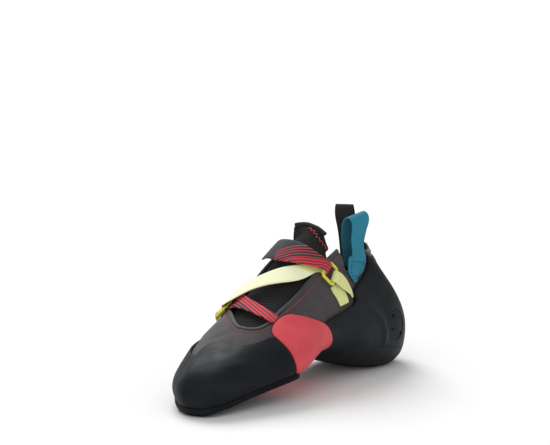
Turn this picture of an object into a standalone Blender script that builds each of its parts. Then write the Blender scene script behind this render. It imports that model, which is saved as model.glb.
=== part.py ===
"""A right climbing shoe as separate solids, in metres with +Z up.

+X points to the toe, +Y to the wearer's left, which is the medial side of a right shoe,
and the origin is the middle of the heel's flat spot on the floor.
Every piece is worked out from one closed surface, the outside of the upper, as a function
of u, along the shoe from the toe tip round under the heel and up to the collar, and v,
round each section: 0 under the foot, 2 at the medial belly, 4 on the instep ridge and
6 at the lateral belly. A height is a distance outside that surface.
"""

import math
from collections import namedtuple

import bpy
import numpy as np

# Driving sizes of the last
LENGTH = 0.232
BALL_WIDTH = 0.081
HEEL_WIDTH = 0.066
INSTEP_HEIGHT = 0.095
HEEL_HEIGHT = 0.081
ARCH_RISE = 0.019
STACK = 0.0042

# Thicknesses and clearances
GAP = 0.0003
FIT = 0.00055
WALL = 0.0016
INSOLE = 0.0015
TONGUE = 0.0020
RAND = 0.0018
SOLE = 0.0052
SOLE_EDGE = 0.0036
CUP_SIDE = 0.0021
CUP_UNDER = 0.0051
WRAP = 0.0023
WRAP_TOP = 0.0012
STRAP = 0.0012
WEBBING = 0.0010
LOOP = 0.0011
WIRE = 0.0011
BINDING = 0.0016
DISC_RADIUS = 0.0115
DISC_DEPTH = 0.0012
DISC_HOLE = 0.0013
LOOP_WIDTH = 0.0150

# Sections of the last. Lengths are shares of LENGTH, rise of ARCH_RISE, heel of HEEL_HEIGHT,
# z_top of INSTEP_HEIGHT and widths of BALL_WIDTH or HEEL_WIDTH. The last letters of a width
# are m for medial, l for lateral and h for its height as a share of the section's height.
Section = namedtuple("Section", "name x_low x_top rise heel z_top y_top "
                     "feather_m feather_l feather_h belly_m belly_l belly_h "
                     "shoulder_m shoulder_l shoulder_h")
FRONT = [
    ("tip",        1.000, 1.000, .52, .00, .105, .100, .100, .000, .50, .100, .000, .50, .100, .000, .50),
    ("toe_end",     .985,  .981, .04, .00, .210, .098, .205, .000, .13, .240,-.045, .48, .215, .013, .86),
    ("toe_box",     .942,  .935, .08, .00, .285, .096, .265,-.130, .08, .325,-.180, .42, .290,-.050, .83),
    ("toes",        .853,  .843, .31, .00, .360, .105, .315,-.320, .08, .405,-.345, .38, .340,-.190, .79),
    ("joints",      .748,  .741, .56, .00, .475, .115, .380,-.430, .06, .480,-.455, .35, .375,-.305, .78),
    ("ball",        .644,  .645, .76, .00, .597, .115, .410,-.450, .06, .505,-.495, .33, .365,-.345, .77),
    ("waist",       .529,  .568, .96, .00, .742, .088, .325,-.412, .08, .430,-.470, .31, .325,-.350, .76),
]
REAR = [
    ("arch",        .411,  .512, .80, .00, .880, .062, .345,-.440, .09, .485,-.520, .30, .365,-.425, .77),
    ("instep",      .290,  .468, .33, .00, .972, .038, .360,-.365, .07, .505,-.502, .30, .362,-.440, .77),
    ("heel_seat",   .168,  .434, .00, .00, 1.035, .025, .375,-.320, .04, .510,-.495, .28, .345,-.435, .76),
    ("heel_round",  .060,  .410, .00, .05, 1.075, .013, .350,-.275, .03, .495,-.470, .28, .328,-.400, .75),
    ("heel_back",   .010,  .396, .00, .28, 1.100, .000, .270,-.215, .04, .440,-.435, .31, .318,-.330, .74),
    ("counter",     .047,  .388, .00, .595, 1.115,-.015, .150,-.155, .05, .330,-.375, .37, .318,-.300, .74),
    ("collar",      .101,  .383, .00, 1.00, 1.125,-.030, .080,-.105, .06, .285,-.312, .43, .308,-.280, .73),
]
U_KNOTS = np.array([0, .9, 1.75, 2.8, 3.9, 5, 6, 7, 8, 9, 10, 11, 12, 13.0])
REST_X = .168
RIDGE = 4.0
TURN = 8.0


def natural_spline(knots, values, at):
    """Read a natural cubic spline through rows of values at the given places."""
    count = len(knots)
    step = np.diff(knots)
    matrix = np.zeros((count, count))
    right = np.zeros((count, values.shape[1]))
    matrix[0, 0] = 1
    matrix[-1, -1] = 1
    for i in range(1, count - 1):
        matrix[i, i - 1:i + 2] = step[i - 1], 2 * (step[i - 1] + step[i]), step[i]
        rise = (values[i + 1] - values[i]) / step[i] - (values[i] - values[i - 1]) / step[i - 1]
        right[i] = 6 * rise
    bend = np.linalg.solve(matrix, right)
    k = np.clip(np.searchsorted(knots, at, side="right") - 1, 0, count - 2)
    width = step[k][:, None]
    after = (at - knots[k])[:, None]
    before = width - after
    curve = (bend[k] * before ** 3 + bend[k + 1] * after ** 3) / (6 * width)
    low = (values[k] / width - bend[k] * width / 6) * before
    high = (values[k + 1] / width - bend[k + 1] * width / 6) * after
    return curve + low + high


def edge(table, at):
    """Read a smooth curve through (place, value) pairs that never swings past them."""
    x, y = np.array(table, float).T
    step = np.diff(x)
    slope = np.diff(y) / step
    tangent = np.zeros_like(y)
    tangent[0] = slope[0]
    tangent[-1] = slope[-1]
    for i in range(1, len(x) - 1):
        if slope[i - 1] * slope[i] > 0:
            near = 2 * step[i] + step[i - 1]
            far = step[i] + 2 * step[i - 1]
            tangent[i] = (near + far) / (near / slope[i - 1] + far / slope[i])
    at = np.clip(np.asarray(at, float), x[0], x[-1])
    k = np.clip(np.searchsorted(x, at, side="right") - 1, 0, len(x) - 2)
    t = (at - x[k]) / step[k]
    ends = (1 + 2 * t) * (1 - t) ** 2 * y[k] + t * t * (3 - 2 * t) * y[k + 1]
    return ends + step[k] * (t * (1 - t) ** 2 * tangent[k] - t * t * (1 - t) * tangent[k + 1])


def smooth(low, high, at):
    """Rise softly from 0 at low to 1 at high."""
    t = np.clip((np.asarray(at, float) - low) / (high - low), 0, 1)
    return t * t * (3 - 2 * t)


def oval(row, start, end, width, ramp):
    """Half width of an opening or a sheet that is round at both ends."""
    reach = min(row - start, end - row)
    if reach <= 0:
        return 0.0
    return width * math.sqrt(1 - max(1 - reach / ramp, 0) ** 2)


def control_points():
    """Eight points round each section of the last."""
    rings = []
    for row in FRONT + REAR:
        s = Section(*row)
        width = BALL_WIDTH if row in FRONT else HEEL_WIDTH
        z_low = STACK + s.rise * ARCH_RISE + s.heel * HEEL_HEIGHT
        z_top = STACK + s.z_top * INSTEP_HEIGHT
        ring = [((s.feather_m + s.feather_l) / 2, 0), (s.feather_m, s.feather_h),
                (s.belly_m, s.belly_h), (s.shoulder_m, s.shoulder_h), (s.y_top, 1),
                (s.shoulder_l, s.shoulder_h), (s.belly_l, s.belly_h), (s.feather_l, s.feather_h)]
        rings.append([((s.x_low + h * (s.x_top - s.x_low) - REST_X) * LENGTH,
                       y * width, z_low + h * (z_top - z_low)) for y, h in ring])
    rings = np.array(rings)
    rings[0] = rings[0].mean(axis=0)
    return rings.reshape(len(rings), -1)


def ring_weights(v):
    """Weights of a section's eight points at v, from a cubic that closes on itself."""
    knots = np.arange(-4, 13, dtype=float)
    unit = np.eye(8)[np.arange(-4, 13) % 8]
    return natural_spline(knots, unit, np.mod(v, TURN))


CONTROL = control_points()


def surface(u, v):
    """Points on the outside of the upper."""
    u = np.asarray(u, float)
    rings = natural_spline(U_KNOTS, CONTROL, u.ravel()).reshape(-1, 8, 3)
    weights = ring_weights(np.asarray(v, float).ravel())
    return np.einsum("nk,nkc->nc", weights, rings).reshape(u.shape + (3,))


def normal(u, v):
    """Outward directions on the upper; the toe tip takes one direction for all v."""
    small = .02
    u = np.asarray(u, float)
    v = np.where(u < small, np.arange(u.size).reshape(u.shape) * .37, v)
    inner = np.maximum(u, 2 * small)
    along = surface(inner + small, v) - surface(inner - small, v)
    across = surface(inner, v + small) - surface(inner, v - small)
    out = np.cross(along, across)
    out = out / np.linalg.norm(out, axis=-1, keepdims=True)
    return np.where((u < small)[..., None], np.array([1.0, 0.0, 0.0]), out)


def lift(u, v, height):
    """Points at a height outside the upper."""
    u, v = np.broadcast_arrays(np.asarray(u, float), np.asarray(v, float))
    height = np.broadcast_to(height, u.shape)
    return surface(u, v) + normal(u, v) * height[..., None]


def new_object(name, points, faces, finish):
    """Make one smooth-shaded mesh object with its own material."""
    mesh = bpy.data.meshes.new(name)
    mesh.from_pydata([tuple(p) for p in points], [], faces)
    mesh.validate()
    mesh.shade_smooth()
    mesh.set_sharp_from_angle(angle=math.radians(40))
    colour, roughness = finish
    material = bpy.data.materials.new(name)
    material.use_nodes = True
    shader = material.node_tree.nodes["Principled BSDF"]
    shader.inputs["Base Color"].default_value = colour + (1.0,)
    shader.inputs["Roughness"].default_value = roughness
    shader.inputs["Metallic"].default_value = 0.0
    mesh.materials.append(material)
    obj = bpy.data.objects.new(name, mesh)
    bpy.context.scene.collection.objects.link(obj)
    return obj


def skin(name, outer_grids, inner_grids, finish):
    """Close an outer and an inner layer of point grids into one solid with a rim."""
    index = {}
    outer = []
    inner = []
    faces = []
    for top, under in zip(outer_grids, inner_grids):
        ids = np.zeros(top.shape[:2], int)
        for i, j in np.ndindex(ids.shape):
            key = tuple(np.round(top[i, j] / 2e-6).astype(int))
            if key not in index:
                index[key] = len(outer)
                outer.append(top[i, j])
                inner.append(under[i, j])
            ids[i, j] = index[key]
        for i, j in np.ndindex(ids.shape[0] - 1, ids.shape[1] - 1):
            corners = (ids[i, j], ids[i + 1, j], ids[i + 1, j + 1], ids[i, j + 1])
            face = [int(c) for n, c in enumerate(corners) if c != corners[n - 1]]
            for n in range(1, len(face) - 1):
                faces.append([face[0], face[n], face[n + 1]])
    edges = {(a, b) for face in faces for a, b in zip(face, face[1:] + face[:1])}
    count = len(outer)
    rim = [[b, a, a + count, b + count] for a, b in sorted(edges) if (b, a) not in edges]
    under = [[i + count for i in reversed(face)] for face in faces]
    return new_object(name, outer + inner, faces + under + rim, finish)


def shell(name, grids, outer, inner, finish):
    """Make a solid between two heights over grids of (u, v)."""
    tops = [outer(g[..., 0], g[..., 1]) for g in grids]
    unders = [inner(g[..., 0], g[..., 1]) for g in grids]
    return skin(name, tops, unders, finish)


def half_grid(rows, columns, low, high, pivot, end, lateral):
    """(u, v) of one side, from a low to a high edge; rows past the pivot reach u = end(v)."""
    grid = []
    for row in rows:
        v = low(row) + (high(row) - low(row)) * columns(row)
        u = np.full_like(v, row)
        if row > pivot:
            u = pivot + (row - pivot) / (rows[-1] - pivot) * (end(v) - pivot)
        grid.append(np.stack([u, v], axis=-1))
    grid = np.array(grid)
    if lateral:
        grid = grid[:, ::-1]
        grid[..., 1] = TURN - grid[..., 1]
    return grid


# Finishes as colour and roughness
SUEDE = ((.070, .062, .064), .92)
KNIT = ((.012, .012, .013), .90)
RUBBER = ((.016, .019, .022), .55)
DISC_RUBBER = ((.030, .032, .034), .60)
RED_RUBBER = ((.70, .075, .095), .60)
RED_WEB = ((.62, .05, .07), .75)
YELLOW_WEB = ((.80, .82, .25), .70)
YELLOW_RING = ((.78, .74, .05), .35)
TEAL_WEB = ((.03, .25, .35), .75)
BLACK_WEB = ((.020, .020, .022), .80)
FOAM = ((.05, .05, .055), .95)


# Upper: edges as (u, v) or (v, u) pairs, with v of the lateral side counted as 8 - v
THROAT_START = 3.85
THROAT_MEDIAL = [(3.85, 4.0), (3.90, 3.84), (4.02, 3.73), (4.25, 3.66), (4.9, 3.63), (5.3, 3.54),
                 (5.8, 3.42), (6.3, 3.32), (6.9, 3.22), (7.6, 3.20), (8.6, 3.25), (13, 3.25)]
THROAT_LATERAL = [(3.85, 4.0), (3.90, 3.80), (4.02, 3.67), (4.25, 3.52), (4.7, 3.28), (5.3, 2.99),
                  (6.0, 2.97), (7.0, 3.08), (8.0, 3.18), (8.6, 3.25), (13, 3.25)]
COLLAR_MEDIAL = [(0, 13.1), (.6, 13.05), (1.2, 12.92), (1.8, 12.7), (2.3, 12.42), (2.55, 12.2),
                 (2.70, 11.85), (2.76, 11.3), (2.82, 10.5), (2.88, 9.75), (2.94, 9.3),
                 (2.99, 9.38), (3.04, 9.59), (3.13, 9.87), (3.25, 10.0)]
COLLAR_LATERAL = [(0, 13.1), (.4, 12.95), (.8, 12.62), (1.2, 12.2), (1.6, 11.93), (2.0, 11.4),
                  (2.3, 10.95), (2.5, 10.45), (2.7, 9.9), (2.85, 9.45), (2.93, 9.3),
                  (3.04, 9.5), (3.13, 9.8), (3.25, 10.0)]
OPEN_START = .75
OPEN_END = 9.65
OPEN_WIDTH = .65
OPEN_RAMP = .85
COLLAR_PIVOT = 8.0
ROW_END = 13.0


def floor_opening(row):
    """Edge of the hole under the foot, as v."""
    return oval(row, OPEN_START, OPEN_END, OPEN_WIDTH, OPEN_RAMP)


def throat_edge(row, lateral):
    """Upper edge of one side: the instep ridge, or the throat's edge behind its front."""
    if row <= THROAT_START:
        return RIDGE
    return float(edge(THROAT_LATERAL if lateral else THROAT_MEDIAL, row))


def upper_columns(row):
    """Even columns at the front, and columns drawn towards the ankle dip at the back."""
    front = np.linspace(0, 1, 12)
    rear = np.array([0, .6, 1.15, 1.65, 2.1, 2.45, 2.68, 2.82, 2.92, 3.02, 3.14, 3.25])
    low = floor_opening(row)
    rear = (rear + low * ((1 - rear / rear[-1]) ** 3 - 1)) / (rear[-1] - low)
    share = smooth(6.5, 8.8, row)
    return front + share * (rear - front)


def make_upper():
    rows = [0, .22, .5, OPEN_START, .79, .95, 1.25, 1.6, 2.0, 2.4, 2.8, 3.15, 3.5,
            THROAT_START, 3.9, 4.02, 4.25, 4.6, 4.95, 5.3, 5.7, 6.15, 6.6, 7.05, 7.5,
            COLLAR_PIVOT, 8.4, 8.8, 9.2, 9.5, 9.62, OPEN_END, 10.15, 10.7, 11.25, 11.8,
            12.4, ROW_END]
    grids = []
    for lateral, collar in ((False, COLLAR_MEDIAL), (True, COLLAR_LATERAL)):
        grids.append(half_grid(rows, upper_columns, floor_opening,
                               lambda row: throat_edge(row, lateral), COLLAR_PIVOT,
                               lambda v: edge(collar, v), lateral))
    return shell("upper", grids, lambda u, v: lift(u, v, 0.0), lambda u, v: lift(u, v, -WALL),
                 SUEDE)


# Insole, on the turned-under margin
INSOLE_START = 1.35
INSOLE_END = 9.4
INSOLE_WIDTH = .92


def make_insole():
    rows = [INSOLE_START, 1.39, 1.5, 1.7, 2.0, 2.5, 3.1, 3.7, 4.3, 4.9, 5.5, 6.1, 6.7, 7.3,
            7.9, 8.4, 8.8, 9.15, 9.34, INSOLE_END]
    grid = []
    for row in rows:
        half = oval(row, INSOLE_START, INSOLE_END, INSOLE_WIDTH, OPEN_RAMP)
        v = np.linspace(-half, half, 9)
        grid.append(np.stack([np.full_like(v, row), v], axis=-1))
    top = WALL + FIT + GAP + INSOLE
    return shell("insole", [np.array(grid)], lambda u, v: lift(u, v, INSOLE - top),
                 lambda u, v: lift(u, v, -top), FOAM)


# Half sole under the forefoot: its rear edge as (v, u), lateral side negative
SOLE_START = .62
SOLE_RAMP = .98
SOLE_HALF = 1.25
SOLE_REAR = [(-SOLE_HALF, 5.2), (0, 4.905), (SOLE_HALF, 4.73)]
OPEN_ENDED = 99.0


def make_outsole():
    shares = np.array([0, .008, .03, .07, .13, .20, .28, .36, .44, .52, .60, .68, .76, .84, .92, 1])
    grid = []
    for share in shares:
        row = SOLE_START + share * (SOLE_REAR[1][1] - SOLE_START)
        half = oval(row, SOLE_START, OPEN_ENDED, SOLE_HALF, SOLE_RAMP)
        v = np.linspace(-half, half, 11)
        v = np.concatenate([v[:1], v, v[-1:]])
        u = SOLE_START + share * (edge(SOLE_REAR, v) - SOLE_START)
        grid.append(np.stack([u, v], axis=-1))
    grid = np.array(grid)
    lip = np.zeros(grid.shape[:2])
    lip[:, [0, -1]] = 1
    u, v = grid[..., 0], grid[..., 1]
    top = lift(u, v, FIT + lip * (RAND + GAP))
    under = top.copy()
    under[..., 2] -= np.where(lip > 0, SOLE_EDGE, SOLE - FIT)
    under[..., 2] = np.maximum(under[..., 2], 0)
    return skin("outsole", [under], [top], RUBBER)


# Toe rand: rear edge as (v, u)
RAND_LOW = 1.29
RAND_START = .58
RAND_RAMP = 1.02
RAND_PIVOT = 1.6
RAND_MEDIAL = [(RAND_LOW, 4.46), (1.5, 4.39), (1.9, 4.30), (2.25, 4.24), (2.6, 4.14),
               (2.9, 4.04), (3.1, 3.98), (3.2, 3.80), (3.26, 3.60), (3.4, 3.30), (3.6, 3.10),
               (RIDGE, 3.05)]
RAND_LATERAL = [(RAND_LOW, 5.17), (1.7, 5.20), (2.0, 5.15), (2.12, 4.7), (2.3, 3.9),
                (2.5, 3.35), (2.8, 2.80), (3.05, 2.42), (3.18, 2.45), (3.3, 2.80), (3.5, 3.0),
                (RIDGE, 3.05)]


def make_toe_rand():
    rows = [0, .2, .42, RAND_START, .61, .75, 1.0, 1.3, RAND_PIVOT, 2.0, 2.4, 2.8, 3.2, 3.6,
            4.0, 4.4]
    medial = [RAND_LOW, 1.6, 1.95, 2.3, 2.65, 2.95, 3.1, 3.2, 3.3, 3.42, 3.6, 3.8, RIDGE]
    side = [RAND_LOW, 1.6, 1.88, 2.02, 2.1, 2.18, 2.28, 2.45, 2.65, 2.85, 3.02, 3.2, 3.45,
            3.7, RIDGE]

    def low(row):
        return oval(row, RAND_START, OPEN_ENDED, RAND_LOW, RAND_RAMP)

    grids = []
    for lateral in (False, True):
        table = RAND_LATERAL if lateral else RAND_MEDIAL
        columns = (np.array(side if lateral else medial) - RAND_LOW) / (RIDGE - RAND_LOW)
        grids.append(half_grid(rows, lambda row: columns, low, lambda row: RIDGE,
                               RAND_PIVOT, lambda v: edge(table, v), lateral))
    return shell("toe_rand", grids, lambda u, v: lift(u, v, FIT + RAND),
                 lambda u, v: lift(u, v, FIT), RUBBER)


# Arch wrap: front and rear edges as (v, u)
WRAP_LATERAL = -2.15
WRAP_MEDIAL = 3.42
WRAP_FRONT = [(WRAP_LATERAL, 5.5), (-2.05, 5.38), (-1.8, 5.24), (-1.33, 5.235), (0, 4.93),
              (1.2, 4.76), (1.3, 4.77), (1.34, 4.56), (1.5, 4.47), (1.9, 4.37), (2.25, 4.31),
              (2.6, 4.21), (2.9, 4.11), (3.15, 4.06), (3.3, 4.13), (3.38, 4.25),
              (WRAP_MEDIAL, 4.40)]
WRAP_REAR = [(WRAP_LATERAL, 6.0), (-2.05, 6.25), (-1.8, 6.42), (-1, 6.50), (0, 6.475), (1.25, 6.52),
             (1.55, 6.55), (1.85, 6.50), (2.05, 6.44), (2.25, 6.28), (2.4, 6.05), (2.7, 5.65),
             (3.0, 5.30), (3.3, 4.95), (3.38, 4.75), (WRAP_MEDIAL, 4.58)]


def wrap_height(v):
    """Outer height of the wrap: thick beside the rubber, thin over the suede."""
    return FIT + WRAP + smooth(2.3, 3.4, v) * (WRAP_TOP - WRAP)


def make_arch_wrap():
    v = np.array([WRAP_LATERAL, -2.05, -1.8, -1.55, -1.33, -1.0, -.6, -.2, .2, .6, .95, 1.2,
                  1.3, 1.34, 1.6, 1.9, 2.2, 2.5, 2.8, 3.05, 3.25, 3.36, WRAP_MEDIAL])
    share = np.linspace(0, 1, 7)[:, None]
    front = edge(WRAP_FRONT, v)
    u = front + share * (edge(WRAP_REAR, v) - front)
    grid = np.stack([u, np.broadcast_to(v, u.shape)], axis=-1)
    return shell("arch_wrap", [grid], lambda u, v: lift(u, v, wrap_height(v)),
                 lambda u, v: lift(u, v, FIT), RED_RUBBER)


# Heel cup: front and top edges as (v, u), side edge as (share of the way back, v)
CUP_FRONT = [(0, 6.50), (1.25, 6.56), (1.55, 6.59), (1.85, 6.55), (2.05, 6.49), (2.25, 6.35)]
CUP_TOP = [(-2.45, 10.2), (-2.3, 10.5), (-2.0, 10.95), (-1.6, 11.35), (-1.2, 11.7), (-.8, 12.1),
           (-.4, 12.5), (0, 12.75), (.6, 12.8), (1.2, 12.62), (1.8, 12.35), (2.3, 12.1),
           (2.6, 11.85), (2.7, 11.72)]
CUP_MEDIAL = [(0, 2.25), (.18, 2.33), (.27, 2.40), (.34, 2.46), (.39, 2.53), (.426, 2.62),
              (.494, 2.685), (.616, 2.73), (.741, 2.745), (.943, 2.69), (1, 2.65)]
CUP_LATERAL = [(0, 2.25), (.3, 2.38), (.6, 2.48), (.85, 2.50), (1, 2.45)]
CREST = [(8.48, 2.52), (9.1, 2.40), (9.35, 2.20), (9.3, 2.0), (9.05, 1.78)]
CREST_RISE = 0.0008
CREST_SPREAD = 0.0045
DISC_PLACE = (9.93, 1.88)
HOLE_TURN = 50
HOLE_REACH = (.26, .22)
CUT_REACH = 0.003


def cup_height(u, v):
    """Outer height of the heel cup: thick underfoot, with a soft crest on the medial side."""
    side = np.abs(np.mod(v + RIDGE, TURN) - RIDGE)
    thin = smooth(6.6, 7.4, u) - 2 * smooth(11.0, 12.6, u)
    under = smooth(1.6, .8, side) * smooth(6.8, 7.6, u) * smooth(10.6, 9.8, u)
    height = FIT + CUP_SIDE * (.75 + .25 * thin) + (CUP_UNDER - CUP_SIDE) * under
    points = surface(u, v)
    path = edge_path(CREST)
    line = surface(path[:, 0], path[:, 1])
    away = np.linalg.norm(points[..., None, :] - line, axis=-1).min(axis=-1)
    return height + CREST_RISE * np.exp(-(away / CREST_SPREAD) ** 2)


def edge_path(knots, count=24):
    """Places spread evenly by knot number along a smooth (u, v) path."""
    number = np.arange(len(knots), dtype=float)
    return natural_spline(number, np.array(knots), np.linspace(0, number[-1], count))


def cup_point(u, v, inset=0.0):
    """Point on the heel cup's outside, cut off flat at the floor."""
    point = lift(u, v, cup_height(u, v) - inset)
    point[..., 2] = np.maximum(point[..., 2], 0)
    return point


def patch(place, radius, rings, sides, height):
    """Concentric rings of points about a place on the heel cup, at a height from its face."""
    u0, v0 = place
    small = .05
    along = np.linalg.norm(surface(u0 + small, v0) - surface(u0 - small, v0)) / (2 * small)
    across = np.linalg.norm(surface(u0, v0 + small) - surface(u0, v0 - small)) / (2 * small)
    angle = np.linspace(0, 2 * math.pi, sides + 1)
    angle[-1] = 0
    reach = np.array(rings)[:, None] * radius
    u = u0 + reach * np.cos(angle) / along
    v = v0 + reach * np.sin(angle) / across
    return cup_point(u, v, -height)


def make_heel_cup():
    shares = np.array([0, .06, .12, .18, .24, .30, .36, .41, .453, .50, .55, .6, .66, .72, .78,
                       .84, .90, .95, 1])
    places = np.linspace(-1, 1, 19)
    grid = []
    for share in shares:
        v = places * np.where(places < 0, edge(CUP_LATERAL, share), edge(CUP_MEDIAL, share))
        front = edge(CUP_FRONT, np.abs(v))
        u = front + share * (edge(CUP_TOP, v) - front)
        grid.append(np.stack([u, v], axis=-1))
    cup = shell("heel_cup", [np.array(grid)], cup_point, lambda u, v: lift(u, v, FIT), RUBBER)
    rings = [0, .6, 1]
    cutter = skin("disc_cutter", [patch(DISC_PLACE, DISC_RADIUS + GAP, rings, 16, CUT_REACH)],
                  [patch(DISC_PLACE, DISC_RADIUS + GAP, rings, 16, -DISC_DEPTH)], RUBBER)
    subtract(cup, cutter)
    disc = skin("heel_disc", [patch(DISC_PLACE, DISC_RADIUS, rings, 16, -GAP)],
                [patch(DISC_PLACE, DISC_RADIUS, rings, 16, GAP - DISC_DEPTH)], DISC_RUBBER)
    for turn in range(3):
        subtract(disc, hole_cutter(turn))


def hole_cutter(turn):
    """Straight cutter for one of the disc's three round holes."""
    angle = math.radians(120 * turn + HOLE_TURN)
    place = (DISC_PLACE[0] + HOLE_REACH[0] * math.cos(angle),
             DISC_PLACE[1] + HOLE_REACH[1] * math.sin(angle))
    return skin("hole_cutter_%d" % turn, [patch(place, DISC_HOLE, [0, 1], 8, CUT_REACH)],
                [patch(place, DISC_HOLE, [0, 1], 8, -CUT_REACH)], RUBBER)


def subtract(obj, cutter):
    """Cut one object by another and keep the cutter as a hidden guide."""
    cutter.hide_render = True
    cutter.display_type = "WIRE"
    cut = obj.modifiers.new("cut", "BOOLEAN")
    cut.operation = "DIFFERENCE"
    cut.solver = "EXACT"
    cut.object = cutter


# Tongue: tucked under the throat's edges, free above its last fixed row
TONGUE_FIXED = 9.2
TONGUE_TUCK = .30
TONGUE_TOP_X = .395
TONGUE_TOP_Y = -.018
TONGUE_TOP_HALF = .205
TONGUE_CROWN = 1.087
TONGUE_DROP = .037
TONGUE_TILT = .021


def tongue_top(t):
    """Top edge of the tongue, from the lateral corner at -1 to the medial one at 1."""
    x = np.full_like(t, (TONGUE_TOP_X - REST_X) * LENGTH)
    y = (TONGUE_TOP_Y + TONGUE_TOP_HALF * t) * HEEL_WIDTH
    z = STACK + (TONGUE_CROWN - TONGUE_DROP * t * t - TONGUE_TILT * t) * INSTEP_HEIGHT
    lean = np.stack([np.full_like(t, .62), .62 * t, .70 - .2 * t * t], axis=-1)
    lean = lean / np.linalg.norm(lean, axis=-1, keepdims=True)
    return np.stack([x, y, z], axis=-1), lean


def tongue_layer(depth):
    """Grid of points of the tongue at a depth under the upper's inside."""
    rows = [3.5, 3.85, 4.2, 4.65, 5.1, 5.6, 6.15, 6.7, 7.25, 7.8, 8.4, 9.0, 9.6]
    places = np.linspace(1, -1, 10)
    grid = []
    for row in rows:
        tuck = TONGUE_TUCK * (1 - 1.3 * smooth(7.9, TONGUE_FIXED, row))
        medial = throat_edge(row, False) - tuck
        lateral = TURN - throat_edge(row, True) + tuck
        v = (medial + lateral) / 2 - (lateral - medial) / 2 * places
        grid.append(lift(np.full_like(v, row), v, -WALL - depth))
    top, lean = tongue_top(places)
    for share in (.35, .7, 1.0):
        grid.append(grid[len(rows) - 1] * (1 - share) + (top - lean * depth) * share)
    return np.array(grid)


def make_tongue():
    return skin("tongue", [tongue_layer(FIT + GAP)], [tongue_layer(FIT + GAP + TONGUE)], KNIT)


def tube(name, path, radius, finish, closed=True, sides=8):
    """Round bar along a path, closed on itself or with domed ends."""
    path = np.asarray(path, float)
    ahead = np.roll(path, -1, axis=0)
    behind = np.roll(path, 1, axis=0)
    if not closed:
        ahead[-1] = path[-1]
        behind[0] = path[0]
    along = ahead - behind
    along = along / np.linalg.norm(along, axis=1)[:, None]
    hub = path.mean(axis=0)
    side = np.cross(along, path - hub)
    side = side / np.linalg.norm(side, axis=1)[:, None]
    out = np.cross(along, side)
    angle = np.linspace(0, 2 * math.pi, sides, endpoint=False)
    ring = (side[:, None] * (np.cos(angle) * radius)[None, :, None]
            + out[:, None] * (np.sin(angle) * radius)[None, :, None])
    points = (path[:, None] + ring).reshape(-1, 3)
    faces = []
    count = len(path)
    for i in range(count if closed else count - 1):
        for j in range(sides):
            a = i * sides + j
            b = i * sides + (j + 1) % sides
            step = ((i + 1) % count - i) * sides
            faces.append([a, b, b + step, a + step])
    points = list(points)
    if not closed:
        for end, first, sign in ((0, 0, -1), (count - 1, (count - 1) * sides, 1)):
            tip = len(points)
            points.append(path[end] + along[end] * sign * radius * .6)
            for j in range(sides):
                pair = [first + j, first + (j + 1) % sides]
                faces.append((pair if sign > 0 else pair[::-1]) + [tip])
    return new_object(name, points, faces, finish)


def make_binding():
    """Rolled binding along the tongue's top edge."""
    t = np.linspace(-1.04, 1.04, 17)
    top, lean = tongue_top(t)
    rise = np.cross(lean, np.array([0, 1.0, 0]))
    rise = rise / np.linalg.norm(rise, axis=1)[:, None]
    middle = top - lean * (FIT + TONGUE / 2)
    path = middle + rise * (BINDING + 2 * GAP)
    return tube("tongue_binding", path, BINDING, KNIT, closed=False)


def ribbon(name, stations, thickness, finish, facet=.006):
    """Flat band through rows of points, each row running across it."""
    stations = np.array(stations)
    middle = stations.mean(axis=1)
    run = np.concatenate([[0], np.cumsum(np.linalg.norm(np.diff(middle, axis=0), axis=1))])
    at = [0.0]
    for start, end in zip(run[:-1], run[1:]):
        pieces = math.ceil((end - start) / facet)
        at += [start + (end - start) * (i + 1) / pieces for i in range(pieces)]
    at = np.array(at)
    flat = natural_spline(run, stations.reshape(len(stations), -1), at)
    rows = flat.reshape(len(at), -1, 3)
    along = np.gradient(rows, axis=0)
    across = np.gradient(rows, axis=1)
    out = np.cross(across, along)
    out = out / np.linalg.norm(out, axis=-1, keepdims=True)
    half = out * thickness / 2
    return skin(name, [rows - half], [rows + half], finish)


def across(low, high, height, count=3):
    """A row of points over the upper between two (u, v) places."""
    share = np.linspace(0, 1, count)
    u = low[0] + share * (high[0] - low[0])
    v = low[1] + share * (high[1] - low[1])
    return lift(u, v, height)


def fold(low, high, height, radius, toward, count=3):
    """Rows of points in a half circle round a bar, from under it to over it."""
    bar = across(low, high, height, count)
    bar = np.linspace(bar[0], bar[-1], count)
    axis = bar[-1] - bar[0]
    axis = axis / np.linalg.norm(axis)
    u = (low[0] + high[0]) / 2
    v = (low[1] + high[1]) / 2
    out = normal(np.array([u]), np.array([v]))[0]
    out = out - axis * (out @ axis)
    out = out / np.linalg.norm(out)
    away = np.cross(axis, out)
    beside = surface(np.array([u, u]), np.array([v, v + toward * .05]))
    away = away * np.sign(away @ (beside[1] - beside[0]))
    rows = []
    for turn in np.radians([-90, -55, -20, 20, 55, 90]):
        rows.append(bar + radius * (math.sin(turn) * out + math.cos(turn) * away))
    return rows


# Strap, rings and anchors: bars as two (u, v) places, rows as two places and a height
BAR_HEIGHT = WIRE + 3 * GAP + STRAP
TURN_RADIUS = WIRE + GAP + STRAP / 2
ANCHOR_RADIUS = WIRE + GAP + WEBBING / 2
ANCHOR_REST = WEBBING / 2 + GAP
RING_MARGIN = 0.0024
RING_CORNER = 0.0024
LATERAL_BAR = ((5.12, 5.04), (5.72, 5.02))
MEDIAL_BAR = ((7.45, 3.12), (8.05, 3.17))
LATERAL_ANCHOR = ((5.14, 5.32), (5.70, 5.30))
MEDIAL_ANCHOR = ((7.64, 2.87), (8.18, 2.99))
STRAP_LOWER = [((4.35, 3.47), (4.64, 3.47), .0016), ((4.34, 3.68), (4.66, 3.68), .0018),
               ((4.42, 4.02), (4.79, 4.02), .0018), ((4.64, 4.36), (5.10, 4.38), .0018),
               ((4.86, 4.62), (5.38, 4.62), .0018), ((5.03, 4.84), (5.60, 4.82), .0016)]
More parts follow.
